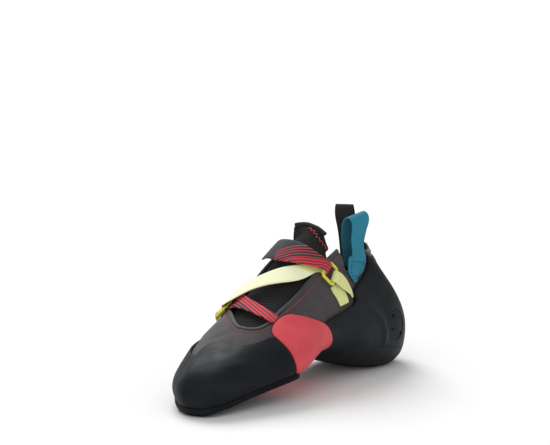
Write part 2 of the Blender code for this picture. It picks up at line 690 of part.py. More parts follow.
STRAP_MIDDLE = [((5.25, 4.84), (5.88, 4.84), .0050), ((5.50, 4.64), (6.10, 4.68), .0040),
                ((5.70, 4.32), (6.28, 4.38), .0030), ((5.86, 3.95), (6.50, 4.02), .0026),
                ((6.24, 3.55), (6.88, 3.62), .0020), ((6.84, 3.30), (7.50, 3.37), .0014)]
STRAP_UPPER = [((7.08, 3.36), (7.84, 3.44), .0050), ((6.78, 3.70), (7.84, 3.74), .0047),
               ((6.72, 4.00), (7.96, 4.02), .0044), ((6.80, 4.26), (8.16, 4.28), .0044),
               ((7.02, 4.50), (8.36, 4.50), .0048), ((7.28, 4.74), (8.26, 4.74), .0048)]
UPPER_LEG = [((7.82, 2.79), (8.36, 2.94), .0042), ((8.00, 2.725), (8.50, 2.85), .0036),
             ((8.20, 2.66), (8.53, 2.74), .0030), ((8.36, 2.605), (8.52, 2.64), .0022),
             ((8.42, 2.565), (8.46, 2.575), .0016)]
LOWER_LEG = [((7.50, 2.80), (8.12, 2.84), ANCHOR_REST), ((7.50, 2.68), (8.18, 2.70), ANCHOR_REST),
             ((7.54, 2.57), (8.14, 2.57), ANCHOR_REST), ((7.53, 2.46), (8.06, 2.50), ANCHOR_REST)]
LATERAL_UNDER = [((5.26, 5.62), (5.68, 5.62), ANCHOR_REST),
                 ((5.18, 5.50), (5.68, 5.50), ANCHOR_REST + GAP)]
LATERAL_OVER = [((5.16, 5.48), (5.68, 5.48), .0040), ((5.22, 5.60), (5.66, 5.60), .0028)]


def laid(table):
    """Rows of points over the upper from a table of places and heights."""
    return [across(low, high, height) for low, high, height in table]


def make_strap():
    """One strap: up from the arch wrap, round the lateral ring, back over the instep,
    round the medial ring and over again to its end on the lateral side."""
    rows = laid(STRAP_LOWER) + fold(*LATERAL_BAR, BAR_HEIGHT, TURN_RADIUS, 1)
    rows += laid(STRAP_MIDDLE) + fold(*MEDIAL_BAR, BAR_HEIGHT, TURN_RADIUS, -1)
    return ribbon("strap", rows + laid(STRAP_UPPER), STRAP, RED_WEB)


def make_ring(name, bar, anchor):
    """Wire ring with rounded corners; one long side holds the strap and one the webbing."""
    points = []
    for low, high in (bar, anchor[::-1]):
        ends = across(low, high, BAR_HEIGHT, 2)
        axis = (ends[1] - ends[0]) / np.linalg.norm(ends[1] - ends[0])
        points += [ends[0] - axis * RING_MARGIN, ends[1] + axis * RING_MARGIN]
    path = []
    for i, point in enumerate(points):
        back = points[i - 1] - point
        ahead = points[(i + 1) % 4] - point
        start = point + back / np.linalg.norm(back) * RING_CORNER
        end = point + ahead / np.linalg.norm(ahead) * RING_CORNER
        for t in (0, .33, .67, 1):
            path.append((1 - t) ** 2 * start + 2 * t * (1 - t) * point + t * t * end)
    return tube(name, path, WIRE, YELLOW_RING)


def make_anchors():
    """Webbing that ties the rings down: two legs on the medial side, one on the lateral."""
    leg = fold(*MEDIAL_ANCHOR, BAR_HEIGHT, ANCHOR_RADIUS, 1) + laid(UPPER_LEG)
    ribbon("anchor_upper_leg", leg, WEBBING, YELLOW_WEB)
    ribbon("anchor_lower_leg", laid(LOWER_LEG), WEBBING, YELLOW_WEB)
    turn = fold(*LATERAL_ANCHOR, BAR_HEIGHT, ANCHOR_RADIUS, -1)
    ribbon("anchor_lateral", laid(LATERAL_UNDER) + turn + laid(LATERAL_OVER), WEBBING,
           YELLOW_WEB)


# Pull loops: ends of rows on the upper, then middles of free rows as shares of LENGTH,
# HEEL_WIDTH and INSTEP_HEIGHT, with their share of LOOP_WIDTH
LOOP_HEIGHT = .0014
MEDIAL_FOOT = [((9.20, 2.76), (9.36, 2.75)), ((9.22, 2.82), (9.66, 2.79)),
               ((9.26, 2.89), (10.08, 2.79)), ((9.64, 2.97), (10.78, 2.79)),
               ((10.25, 3.04), (11.48, 2.735))]
MEDIAL_ROWS = [(.290, .372, .877, .72), (.284, .354, .956, .74), (.273, .345, 1.040, .9),
               (.268, .347, 1.103, 1), (.268, .326, 1.143, 1), (.268, .280, 1.156, 1),
               (.268, .232, 1.129, 1), (.268, .209, 1.051, 1), (.270, .217, .945, .95),
               (.272, .236, .840, .85), (.274, .260, .775, .75)]
MEDIAL_AXIS = (.93, -.28, -.24)
LATERAL_FOOT = [((12.25, -.82), (11.78, -1.42)), ((12.45, -.85), (12.0, -1.48))]
LATERAL_ROWS = [(.089, -.215, .777, .8), (.089, -.241, .903, .8), (.092, -.262, 1.019, .82),
                (.099, -.274, 1.114, .84), (.113, -.258, 1.161, .84), (.127, -.233, 1.114, .84),
                (.128, -.205, 1.008, .82), (.123, -.188, .882, .8), (.120, -.177, .756, .8),
                (.118, -.168, .672, .8)]
LATERAL_AXIS = (-.46, .89, 0)


def make_loop(name, foot, rows, axis, finish):
    """Pull loop of folded webbing, sewn outside and inside the collar."""
    axis = np.array(axis) / np.linalg.norm(axis)
    share = np.linspace(-.5, .5, 3)[:, None]
    stations = [across(low, high, LOOP_HEIGHT) for low, high in foot]
    for ahead, outward, up, width in rows:
        centre = np.array([(ahead - REST_X) * LENGTH, outward * HEEL_WIDTH,
                           STACK + up * INSTEP_HEIGHT])
        stations.append(centre - share * axis * LOOP_WIDTH * width)
    return ribbon(name, stations, LOOP, finish)


def main():
    for obj in list(bpy.context.scene.objects):
        bpy.data.objects.remove(obj, do_unlink=True)
    make_upper()
    make_insole()
    make_outsole()
    make_toe_rand()
    make_arch_wrap()
    make_heel_cup()
    make_tongue()
    make_binding()
    make_strap()
    make_ring("lateral_ring", LATERAL_BAR, LATERAL_ANCHOR)
    make_ring("medial_ring", MEDIAL_BAR, MEDIAL_ANCHOR)
    make_anchors()
    make_loop("loop_medial", MEDIAL_FOOT, MEDIAL_ROWS, MEDIAL_AXIS, TEAL_WEB)
    make_loop("loop_lateral", LATERAL_FOOT, LATERAL_ROWS, LATERAL_AXIS, BLACK_WEB)


main()
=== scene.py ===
"""Looks of a right climbing shoe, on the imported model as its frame.

+X points to the toe, +Y to the wearer's left, which is the medial side, and +Z up.
Each piece is remade finely over the outside of the upper, a closed surface of u, along the
shoe from the toe tip round under the heel and up to the collar, and v, round each section:
0 under the foot, 2 at the medial belly, 4 on the instep ridge and 6 at the lateral belly.
"""

import math
from collections import namedtuple

import bpy
import numpy as np
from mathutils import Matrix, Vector, noise


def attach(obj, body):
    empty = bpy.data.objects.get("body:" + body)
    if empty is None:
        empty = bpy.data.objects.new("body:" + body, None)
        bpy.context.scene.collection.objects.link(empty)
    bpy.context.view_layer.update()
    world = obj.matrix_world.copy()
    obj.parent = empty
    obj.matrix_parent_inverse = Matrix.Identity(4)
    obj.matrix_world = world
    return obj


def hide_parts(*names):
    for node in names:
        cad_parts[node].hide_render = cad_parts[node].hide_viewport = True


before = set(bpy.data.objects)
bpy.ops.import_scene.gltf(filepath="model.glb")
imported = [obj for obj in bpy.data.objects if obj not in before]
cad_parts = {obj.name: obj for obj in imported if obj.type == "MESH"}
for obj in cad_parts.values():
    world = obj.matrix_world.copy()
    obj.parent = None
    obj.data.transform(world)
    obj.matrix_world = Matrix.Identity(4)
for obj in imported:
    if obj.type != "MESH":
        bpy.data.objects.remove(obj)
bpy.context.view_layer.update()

# Driving sizes of the last
LENGTH = 0.232
BALL_WIDTH = 0.081
HEEL_WIDTH = 0.066
INSTEP_HEIGHT = 0.095
HEEL_HEIGHT = 0.081
ARCH_RISE = 0.019
STACK = 0.0042

# Thicknesses and clearances
GAP = 0.0003
FIT = 0.00055
WALL = 0.0016
INSOLE = 0.0015
TONGUE = 0.0020
RAND = 0.0018
SOLE = 0.0052
SOLE_EDGE = 0.0036
CUP_SIDE = 0.0021
CUP_UNDER = 0.0051
WRAP = 0.0023
WRAP_TOP = 0.0012
STRAP = 0.0012
WEBBING = 0.0010
LOOP = 0.0011
WIRE = 0.0011
BINDING = 0.0016
DISC_RADIUS = 0.0115
DISC_DEPTH = 0.0012
DISC_HOLE = 0.0013
LOOP_WIDTH = 0.0150

# Sections of the last. Lengths are shares of LENGTH, rise of ARCH_RISE, heel of HEEL_HEIGHT,
# z_top of INSTEP_HEIGHT and widths of BALL_WIDTH or HEEL_WIDTH. The last letters of a width
# are m for medial, l for lateral and h for its height as a share of the section's height.
Section = namedtuple("Section", "name x_low x_top rise heel z_top y_top "
                     "feather_m feather_l feather_h belly_m belly_l belly_h "
                     "shoulder_m shoulder_l shoulder_h")
FRONT = [
    ("tip",        1.000, 1.000, .52, .00, .105, .100, .100, .000, .50, .100, .000, .50, .100, .000, .50),
    ("toe_end",     .985,  .981, .04, .00, .210, .098, .205, .000, .13, .240,-.045, .48, .215, .013, .86),
    ("toe_box",     .942,  .935, .08, .00, .285, .096, .265,-.130, .08, .325,-.180, .42, .290,-.050, .83),
    ("toes",        .853,  .843, .31, .00, .360, .105, .315,-.320, .08, .405,-.345, .38, .340,-.190, .79),
    ("joints",      .748,  .741, .56, .00, .475, .115, .380,-.430, .06, .480,-.455, .35, .375,-.305, .78),
    ("ball",        .644,  .645, .76, .00, .597, .115, .410,-.450, .06, .505,-.495, .33, .365,-.345, .77),
    ("waist",       .529,  .568, .96, .00, .742, .088, .325,-.412, .08, .430,-.470, .31, .325,-.350, .76),
]
REAR = [
    ("arch",        .411,  .512, .80, .00, .880, .062, .345,-.440, .09, .485,-.520, .30, .365,-.425, .77),
    ("instep",      .290,  .468, .33, .00, .972, .038, .360,-.365, .07, .505,-.502, .30, .362,-.440, .77),
    ("heel_seat",   .168,  .434, .00, .00, 1.035, .025, .375,-.320, .04, .510,-.495, .28, .345,-.435, .76),
    ("heel_round",  .060,  .410, .00, .05, 1.075, .013, .350,-.275, .03, .495,-.470, .28, .328,-.400, .75),
    ("heel_back",   .010,  .396, .00, .28, 1.100, .000, .270,-.215, .04, .440,-.435, .31, .318,-.330, .74),
    ("counter",     .047,  .388, .00, .595, 1.115,-.015, .150,-.155, .05, .330,-.375, .37, .318,-.300, .74),
    ("collar",      .101,  .383, .00, 1.00, 1.125,-.030, .080,-.105, .06, .285,-.312, .43, .308,-.280, .73),
]
U_KNOTS = np.array([0, .9, 1.75, 2.8, 3.9, 5, 6, 7, 8, 9, 10, 11, 12, 13.0])
REST_X = .168
RIDGE = 4.0
TURN = 8.0
OPEN_ENDED = 99
PROBE = .02


def natural_spline(knots, values, at):
    """Read a natural cubic spline through rows of values at the given places."""
    count = len(knots)
    step = np.diff(knots)
    matrix = np.zeros((count, count))
    right = np.zeros((count, values.shape[1]))
    matrix[0, 0] = 1
    matrix[-1, -1] = 1
    for i in range(1, count - 1):
        matrix[i, i - 1:i + 2] = step[i - 1], 2 * (step[i - 1] + step[i]), step[i]
        rise = (values[i + 1] - values[i]) / step[i] - (values[i] - values[i - 1]) / step[i - 1]
        right[i] = 6 * rise
    bend = np.linalg.solve(matrix, right)
    k = np.clip(np.searchsorted(knots, at, side="right") - 1, 0, count - 2)
    width = step[k][:, None]
    after = (at - knots[k])[:, None]
    before = width - after
    curve = (bend[k] * before ** 3 + bend[k + 1] * after ** 3) / (6 * width)
    low = (values[k] / width - bend[k] * width / 6) * before
    high = (values[k + 1] / width - bend[k + 1] * width / 6) * after
    return curve + low + high


def through(knots, count):
    """Evenly numbered places on a smooth curve through rows of values."""
    number = np.arange(len(knots), dtype=float)
    return natural_spline(number, np.asarray(knots, float), np.linspace(0, number[-1], count))


def unit(vectors):
    """Vectors at length 1."""
    return vectors / np.linalg.norm(vectors, axis=-1, keepdims=True)


def distances(path):
    """How far along a path each of its points lies."""
    return np.concatenate([[0], np.cumsum(np.linalg.norm(np.diff(path, axis=0), axis=1))])


def edge(table, at):
    """Read a smooth curve through (place, value) pairs that never swings past them."""
    x, y = np.array(table, float).T
    step = np.diff(x)
    slope = np.diff(y) / step
    tangent = np.zeros_like(y)
    tangent[0] = slope[0]
    tangent[-1] = slope[-1]
    for i in range(1, len(x) - 1):
        if slope[i - 1] * slope[i] > 0:
            near = 2 * step[i] + step[i - 1]
            far = step[i] + 2 * step[i - 1]
            tangent[i] = (near + far) / (near / slope[i - 1] + far / slope[i])
    at = np.clip(np.asarray(at, float), x[0], x[-1])
    k = np.clip(np.searchsorted(x, at, side="right") - 1, 0, len(x) - 2)
    t = (at - x[k]) / step[k]
    ends = (1 + 2 * t) * (1 - t) ** 2 * y[k] + t * t * (3 - 2 * t) * y[k + 1]
    return ends + step[k] * (t * (1 - t) ** 2 * tangent[k] - t * t * (1 - t) * tangent[k + 1])


def smooth(low, high, at):
    """Rise softly from 0 at low to 1 at high."""
    t = np.clip((np.asarray(at, float) - low) / (high - low), 0, 1)
    return t * t * (3 - 2 * t)


def oval(row, start, end, width, ramp):
    """Half width of an opening or a sheet that is round at both ends."""
    reach = min(row - start, end - row)
    if reach <= 0:
        return 0.0
    return width * math.sqrt(1 - max(1 - reach / ramp, 0) ** 2)


def control_points():
    """Eight points round each section of the last."""
    rings = []
    for row in FRONT + REAR:
        s = Section(*row)
        width = BALL_WIDTH if row in FRONT else HEEL_WIDTH
        z_low = STACK + s.rise * ARCH_RISE + s.heel * HEEL_HEIGHT
        z_top = STACK + s.z_top * INSTEP_HEIGHT
        ring = [((s.feather_m + s.feather_l) / 2, 0), (s.feather_m, s.feather_h),
                (s.belly_m, s.belly_h), (s.shoulder_m, s.shoulder_h), (s.y_top, 1),
                (s.shoulder_l, s.shoulder_h), (s.belly_l, s.belly_h), (s.feather_l, s.feather_h)]
        rings.append([((s.x_low + h * (s.x_top - s.x_low) - REST_X) * LENGTH,
                       y * width, z_low + h * (z_top - z_low)) for y, h in ring])
    rings = np.array(rings)
    rings[0] = rings[0].mean(axis=0)
    return rings.reshape(len(rings), -1)


def ring_weights(v):
    """Weights of a section's eight points at v, from a cubic that closes on itself."""
    knots = np.arange(-4, 13, dtype=float)
    unit = np.eye(8)[np.arange(-4, 13) % 8]
    return natural_spline(knots, unit, np.mod(v, TURN))


CONTROL = control_points()


def surface(u, v):
    """Points on the outside of the upper."""
    u = np.asarray(u, float)
    rings = natural_spline(U_KNOTS, CONTROL, u.ravel()).reshape(-1, 8, 3)
    weights = ring_weights(np.asarray(v, float).ravel())
    return np.einsum("nk,nkc->nc", weights, rings).reshape(u.shape + (3,))


def slopes(u, v):
    """Directions of growing u and growing v on the surface."""
    inner = np.maximum(u, 2 * PROBE)
    along = (surface(inner + PROBE, v) - surface(inner - PROBE, v)) / (2 * PROBE)
    across = (surface(inner, v + PROBE) - surface(inner, v - PROBE)) / (2 * PROBE)
    return along, across


def normal(u, v):
    """Outward directions on the upper; the toe tip takes one direction for all v."""
    out = unit(np.cross(*slopes(u, v)))
    return np.where((np.asarray(u) < PROBE)[..., None], np.array([1.0, 0.0, 0.0]), out)


def lift(u, v, height):
    """Points at a height outside the upper."""
    u, v = np.broadcast_arrays(np.asarray(u, float), np.asarray(v, float))
    height = np.broadcast_to(height, u.shape)
    return surface(u, v) + normal(u, v) * height[..., None]


# Mesh tools
WELD = 4e-6
TINY = 1e-12
RIM_TURNS = (40, 90, 140)


def finer(values, times):
    """A rising list with each of its steps cut into equal parts."""
    values = np.asarray(values, float)
    places = np.linspace(0, len(values) - 1, (len(values) - 1) * times + 1)
    return np.interp(places, np.arange(len(values)), values)


def refine(grid, row_times, column_times):
    """A finer grid of points, on cubics through the rows and columns of a coarse one."""
    grid = np.asarray(grid, float)
    for times in (row_times, column_times):
        count = len(grid)
        number = np.arange(count, dtype=float)
        at = finer(number, times)
        flat = natural_spline(number, grid.reshape(count, -1), at)
        grid = flat.reshape((len(at),) + grid.shape[1:]).swapaxes(0, 1)
    return grid


def make_mesh(name, points, faces, finishes, places=None, cloth=None):
    """Make one smooth-shaded piece; places gives each face's material by number."""
    mesh = bpy.data.meshes.new(name)
    mesh.from_pydata(np.asarray(points).tolist(), [], faces)
    for finish in finishes:
        mesh.materials.append(finish)
    if places is not None:
        mesh.polygons.foreach_set("material_index", np.asarray(places, np.int32))
    if cloth is not None:
        layer = mesh.attributes.new("cloth", "FLOAT_VECTOR", "POINT")
        layer.data.foreach_set("vector", np.asarray(cloth, np.float32).ravel())
    mesh.shade_smooth()
    mesh.update()
    piece = bpy.data.objects.new(name, mesh)
    bpy.context.scene.collection.objects.link(piece)
    return piece


def welded(tops):
    """The points of several grids with doubles joined, their first places and the quads."""
    points = np.concatenate([top.reshape(-1, 3) for top in tops])
    keys = np.round(points / WELD).astype(np.int64)
    _, first, ids = np.unique(keys, axis=0, return_index=True, return_inverse=True)
    ids = ids.ravel()
    quads = []
    start = 0
    for top in tops:
        rows, columns = top.shape[:2]
        block = ids[start:start + rows * columns].reshape(rows, columns)
        start += rows * columns
        quads.append(np.stack([block[:-1, :-1], block[1:, :-1], block[1:, 1:], block[:-1, 1:]],
                              axis=-1).reshape(-1, 4))
    return points[first], first, np.concatenate(quads)


def open_edges(quads, count):
    """Edges that only one quad has."""
    edges = np.concatenate([np.stack([quads[:, i], quads[:, (i + 1) % 4]], axis=1)
                            for i in range(4)])
    edges = edges[edges[:, 0] != edges[:, 1]]
    forward = edges[:, 0] * count + edges[:, 1]
    backward = edges[:, 1] * count + edges[:, 0]
    return edges[~np.isin(forward, backward)]


def skin(name, tops, unders, finishes, cloth=None, roundness=.55):
    """Close an outer and an inner layer of point grids into one solid with a rounded rim."""
    points, first, quads = welded(tops)
    below = np.concatenate([under.reshape(-1, 3) for under in unders])[first]
    count = len(points)
    rim = open_edges(quads, count)
    outward = np.zeros((count, 3))
    thick = points - below
    for a in (0, 1):
        run = points[rim[:, 1]] - points[rim[:, 0]]
        side = np.cross(run, thick[rim[:, a]])
        side = side / (np.linalg.norm(side, axis=1, keepdims=True) + TINY)
        np.add.at(outward, rim[:, a], side)
    outward = outward / (np.linalg.norm(outward, axis=1, keepdims=True) + TINY)
    on_rim = np.unique(rim)
    place = {int(v): i for i, v in enumerate(on_rim)}
    middle = (points[on_rim] + below[on_rim]) / 2
    half = thick[on_rim] / 2
    reach = np.linalg.norm(half, axis=1, keepdims=True) * roundness
    bands = [middle + half * math.cos(turn) + outward[on_rim] * reach * math.sin(turn)
             for turn in np.radians(RIM_TURNS)]
    faces = []
    places = []
    for quad in quads.tolist():
        face = [c for n, c in enumerate(quad) if c != quad[n - 1]]
        if len(face) > 2:
            faces += [face, [c + count for c in reversed(face)]]
            places += [0, 1]
    for a, b in rim.tolist():
        steps = [(a, b)]
        steps += [(start + place[a], start + place[b])
                  for start in 2 * count + len(on_rim) * np.arange(len(bands))]
        steps += [(a + count, b + count)]
        for n, ((left, right), (next_left, next_right)) in enumerate(zip(steps, steps[1:])):
            faces.append([int(c) for c in (right, left, next_left, next_right)])
            places.append(0 if n < 2 else 1)
    if cloth is not None:
        cloth = np.concatenate([c.reshape(-1, 3) for c in cloth])[first]
        cloth = np.concatenate([cloth, cloth] + [cloth[on_rim]] * len(bands))
    return make_mesh(name, np.concatenate([points, below] + bands), faces, finishes,
                     np.minimum(places, len(finishes) - 1), cloth)


def shell(name, grids, outer, inner, finishes, **extra):
    """Make a solid between two heights over grids of (u, v)."""
    tops = [outer(g[..., 0], g[..., 1]) for g in grids]
    unders = [inner(g[..., 0], g[..., 1]) for g in grids]
    return skin(name, tops, unders, finishes, **extra)


def half_grid(rows, columns, low, high, pivot, end, lateral):
    """(u, v) of one side, from a low to a high edge; rows past the pivot reach u = end(v)."""
    grid = []
    for row in rows:
        v = low(row) + (high(row) - low(row)) * columns(row)
        u = np.full_like(v, row)
        if row > pivot:
            u = pivot + (row - pivot) / (rows[-1] - pivot) * (end(v) - pivot)
        grid.append(np.stack([u, v], axis=-1))
    grid = np.array(grid)
    if lateral:
        grid = grid[:, ::-1]
        grid[..., 1] = TURN - grid[..., 1]
    return grid


def cells(points, size, depth, seed=0.0):
    """Soft random heights over points, with lumps of the given size."""
    flat = np.asarray(points).reshape(-1, 3) / size + seed
    return np.array([noise.noise(Vector(p)) for p in flat.tolist()]).reshape(
        points.shape[:-1]) * depth


def along_path(path, count=40):
    """Points of the surface on a smooth (u, v) path through a few knots."""
    spot = through(path, count)
    return surface(spot[:, 0], spot[:, 1])


def furrow(points, path, depth, width):
    """A soft trough along a path, with a low ridge on each side."""
    line = along_path(path)
    flat = points.reshape(-1, 1, 3)
    away = np.linalg.norm(flat - line[None], axis=-1)
    nearest = away.argmin(axis=1)
    away = away.min(axis=1)
    ends = np.minimum(nearest, len(line) - 1 - nearest) / (len(line) / 4)
    fade = np.clip(ends, 0, 1)
    trough = np.exp(-(away / width) ** 2) - .45 * np.exp(-((away - 2 * width) / width) ** 2)
    return (-depth * fade * trough).reshape(points.shape[:-1])


def reliefs(points, creases):
    """Sum of several furrows given as (path, depth, width)."""
    total = np.zeros(points.shape[:-1])
    for path, depth, width in creases:
        total = total + furrow(points, path, depth, width)
    return total


def beside(u, v, distance, height):
    """Points beside a (u, v) path on the surface, to the right of its run, and their normals."""
    points = surface(u, v)
    run = np.gradient(points, axis=0)
    out = normal(u, v)
    side = unit(np.cross(run, out)) * distance
    along, across = slopes(u, v)
    aa, ab, bb, sa, sb = [(p * q).sum(axis=1) for p, q in (
        (along, along), (along, across), (across, across), (side, along), (side, across))]
    det = aa * bb - ab * ab
    u2 = u + (sa * bb - sb * ab) / det
    v2 = v + (sb * aa - sa * ab) / det
    return lift(u2, v2, height), normal(u2, v2)


def even(points, outs, step):
    """A path and the directions along it, resampled at an even step."""
    run = distances(points)
    at = np.linspace(0, run[-1], max(int(round(run[-1] / step)), 1) + 1)
    return [np.stack([np.interp(at, run, row[:, c]) for c in range(3)], axis=1)
            for row in (points, outs)]


def sweep(name, path, out, profile, finish, closed=False):
    """A bar along a path; the profile is a closed list of (sideways, outward) places."""
    path = np.asarray(path, float)
    if closed:
        run = np.roll(path, -1, axis=0) - np.roll(path, 1, axis=0)
    else:
        run = np.gradient(path, axis=0)
    side = unit(np.cross(run, out))
    up = unit(np.cross(side, run))
    rings = (path[:, None] + side[:, None] * profile[None, :, :1]
             + up[:, None] * profile[None, :, 1:])
    count, sides = rings.shape[:2]
    points = rings.reshape(-1, 3)
    faces = []
    for i in range(count if closed else count - 1):
        for j in range(sides):
            a = i * sides + j
            b = i * sides + (j + 1) % sides
            step = ((i + 1) % count - i) * sides
            faces.append([b, a, a + step, b + step])
    if not closed:
        tips = [path[0] + (path[0] - path[1]) * .2, path[-1] + (path[-1] - path[-2]) * .2]
        points = np.concatenate([points, tips])
        for j in range(sides):
            faces.append([j, (j + 1) % sides, len(points) - 2])
            last = (count - 1) * sides
            faces.append([last + (j + 1) % sides, last + j, len(points) - 1])
    return make_mesh(name, points, faces, [finish])


def oval_profile(width, height, sides):
    """An oval as a closed list of (sideways, outward) places."""
    angle = np.linspace(0, 2 * math.pi, sides, endpoint=False)
    return np.stack([np.cos(angle) * width / 2, np.sin(angle) * height / 2], axis=1)


# One thread of a stitch: shares of its length, of its radius, and its rise in radii
THREAD_SIDES = 6
THREAD_STAGES = [(-.02, .35, -.5), (.12, .9, .0), (.5, 1.0, .35), (.88, .9, .0),
                 (1.02, .35, -.5)]
THREAD = .00024


def stitches(name, starts, ends, outs, radius, finish, sink=.35):
    """Short rounded threads between pairs of points, joined as one mesh."""
    angle = np.linspace(0, 2 * math.pi, THREAD_SIDES, endpoint=False)
    points = []
    faces = []
    for start, end, out in zip(starts, ends, outs):
        run = end - start
        side = unit(np.cross(run, out))
        up = unit(np.cross(side, run))
        base = len(points)
        for share, size, rise in THREAD_STAGES:
            centre = start + run * share + up * radius * (rise + 1 - sink)
            for a in angle:
                points.append(centre + radius * size * (math.cos(a) * side + math.sin(a) * up))
        for i in range(len(THREAD_STAGES) - 1):
            for j in range(THREAD_SIDES):
                a = base + i * THREAD_SIDES + j
                b = base + i * THREAD_SIDES + (j + 1) % THREAD_SIDES
                faces.append([b, a, a + THREAD_SIDES, b + THREAD_SIDES])
        last = base + (len(THREAD_STAGES) - 1) * THREAD_SIDES
        faces.append([base + j for j in range(THREAD_SIDES)])
        faces.append([last + j for j in reversed(range(THREAD_SIDES))])
    return make_mesh(name, points, faces, [finish])


def stitch_row(name, path, outs, length, gap, finish):
    """A row of stitches along a path."""
    path, outs = even(path, outs, (length + gap) / 2)
    starts = path[0:-1:2]
    ends = starts + (path[1::2] - starts) * (2 * length / (length + gap))
    return stitches(name, starts, ends, outs[0:-1:2], THREAD, finish)


# Materials

class Look:
    """One node material, built up from noises, waves and mixes."""

    def __init__(self, name, roughness, **constants):
        self.material = bpy.data.materials.new(name)
        self.material.use_nodes = True
        self.tree = self.material.node_tree
        self.shader = self.tree.nodes["Principled BSDF"]
        self.shader.inputs["Roughness"].default_value = roughness
        for key, value in constants.items():
            self.shader.inputs[key.replace("_", " ")].default_value = value
        self.height = None

    def put(self, socket, value):
        if isinstance(value, bpy.types.NodeSocket):
            self.tree.links.new(value, socket)
        else:
            socket.default_value = value

    def node(self, kind, output, inputs, **settings):
        """Add a node and return one of its outputs."""
        made = self.tree.nodes.new("ShaderNode" + kind)
        for key, value in settings.items():
            setattr(made, key, value)
        for socket, value in inputs.items():
            self.put(made.inputs[socket], value)
        return made.outputs[output]

    def place(self):
        """Coordinates in metres."""
        return self.node("TexCoord", "Object", {})

    def cloth(self):
        """Distances along and across a woven piece, as its mesh stores them."""
        spot = self.node("Attribute", "Vector", {}, attribute_name="cloth")
        return [self.node("SeparateXYZ", axis, {0: spot}) for axis in "XY"]

    def noise(self, size, detail=2.0, stretch=None, rough=.5):
        """Soft random values with lumps of the given size in metres."""
        spot = self.place()
        if stretch is not None:
            spot = self.node("VectorMath", "Vector", {0: spot, 1: stretch},
                             operation="MULTIPLY")
        return self.node("TexNoise", "Fac", {"Vector": spot, "Scale": 1 / size,
                                             "Detail": detail, "Roughness": rough})

    def specks(self, size):
        """Distance to the nearest of many scattered points."""
        return self.node("TexVoronoi", "Distance", {"Vector": self.place(), "Scale": 1 / size})

    def remap(self, value, low, high, to_low=0.0, to_high=1.0):
        """A value taken smoothly from one range to another."""
        return self.node("MapRange", "Result", {"Value": value, "From Min": low,
                                                "From Max": high, "To Min": to_low,
                                                "To Max": to_high},
                         interpolation_type="SMOOTHSTEP")

    def math(self, operation, a, b=0.0):
        return self.node("Math", 0, {0: a, 1: b}, operation=operation)

    def plus(self, a, b):
        return self.math("ADD", a, b)

    def times(self, a, b):
        return self.math("MULTIPLY", a, b)

    def wave(self, value, pitch):
        """A sine of a length, from 0 to 1."""
        sine = self.math("SINE", self.times(value, 2 * math.pi / pitch))
        return self.plus(self.times(sine, .5), .5)

    def mix(self, share, *tones):
        """The first colour at share 0 and the second at share 1."""
        first, second = [tone if isinstance(tone, bpy.types.NodeSocket) else (*tone, 1.0)
                         for tone in tones]
        return self.node("Mix", 2, {0: share, 6: first, 7: second}, data_type="RGBA")

    def paint(self, colour):
        self.put(self.shader.inputs["Base Color"], colour)

    def gloss(self, roughness):
        self.put(self.shader.inputs["Roughness"], roughness)

    def bump(self, height, distance, strength=1.0):
        """Add a relief of a real depth to what is already there."""
        inputs = {"Strength": strength, "Distance": distance, "Height": height}
        if self.height is not None:
            inputs["Normal"] = self.height
        self.height = self.node("Bump", "Normal", inputs)
        self.put(self.shader.inputs["Normal"], self.height)


def suede():
    """Brushed grey-brown leather, with fine nap and pale clouds."""
    look = Look("suede", .95, Sheen_Weight=.22, Sheen_Roughness=.45, Specular_IOR_Level=.25)
    grain = look.noise(.00055, 3.0, rough=.65)
    nap = look.noise(.0035, 2.0)
    cloud = look.noise(.018, 2.0)
    tone = look.mix(look.remap(grain, .36, .66), (.034, .029, .031), (.100, .088, .092))
    tone = look.mix(look.remap(nap, .3, .75, 0, .45), tone, (.052, .045, .047))
    tone = look.mix(look.remap(cloud, .35, .7, 0, .3), tone, (.088, .080, .082))
    look.paint(tone)
    look.bump(grain, .0003, .55)
    look.bump(nap, .0006, .25)
    return look.material


def two_tone(name, size, tones, bump, roughness, detail=2.0, span=(.3, .7), **constants):
    """Material of two tones in fine noise; bump is the noise's depth and strength."""
    look = Look(name, roughness, **constants)
    grain = look.noise(size, detail)
    look.paint(look.mix(look.remap(grain, *span), *tones))
    look.bump(grain, *bump)
    return look.material


def black_rubber(name, dark, light, roughness=.5):
    """Blue-black rubber, with faint level streaks, fine grit and a little dust."""
    look = Look(name, roughness, Specular_IOR_Level=.12)
    broad = look.noise(.030, 2.0)
    streak = look.noise(.0030, 3.0, stretch=(.12, .12, 1))
    grit = look.noise(.0007, 2.0)
    tone = look.mix(look.remap(broad, .3, .72), dark, light)
    tone = look.mix(look.remap(streak, .50, .80, 0, .35), tone, tuple(1.7 * c for c in light))
    tone = look.mix(look.remap(grit, .55, .75, 0, .35), tone, tuple(1.8 * c for c in light))
    dust = look.remap(look.specks(.0085), .040, .022, 0, .40)
    tone = look.mix(dust, tone, (.13, .14, .15))
    look.paint(tone)
    look.gloss(look.remap(look.noise(.010, 2.0), .3, .75, roughness - .03, roughness + .08))
    look.bump(streak, .00022, .25)
    look.bump(grit, .00008, .5)
    return look.material


def red_rubber():
    """Smooth coral rubber."""
    look = Look("red_rubber", .55, Specular_IOR_Level=.35)
    broad = look.noise(.014, 3.0)
    tone = look.mix(look.remap(broad, .3, .75), (.66, .060, .078), (.74, .078, .098))
    look.paint(tone)
    look.bump(look.noise(.0006, 2.0), .0001, .4)
    look.bump(look.noise(.009, 1.0), .0006, .3)
    return look.material


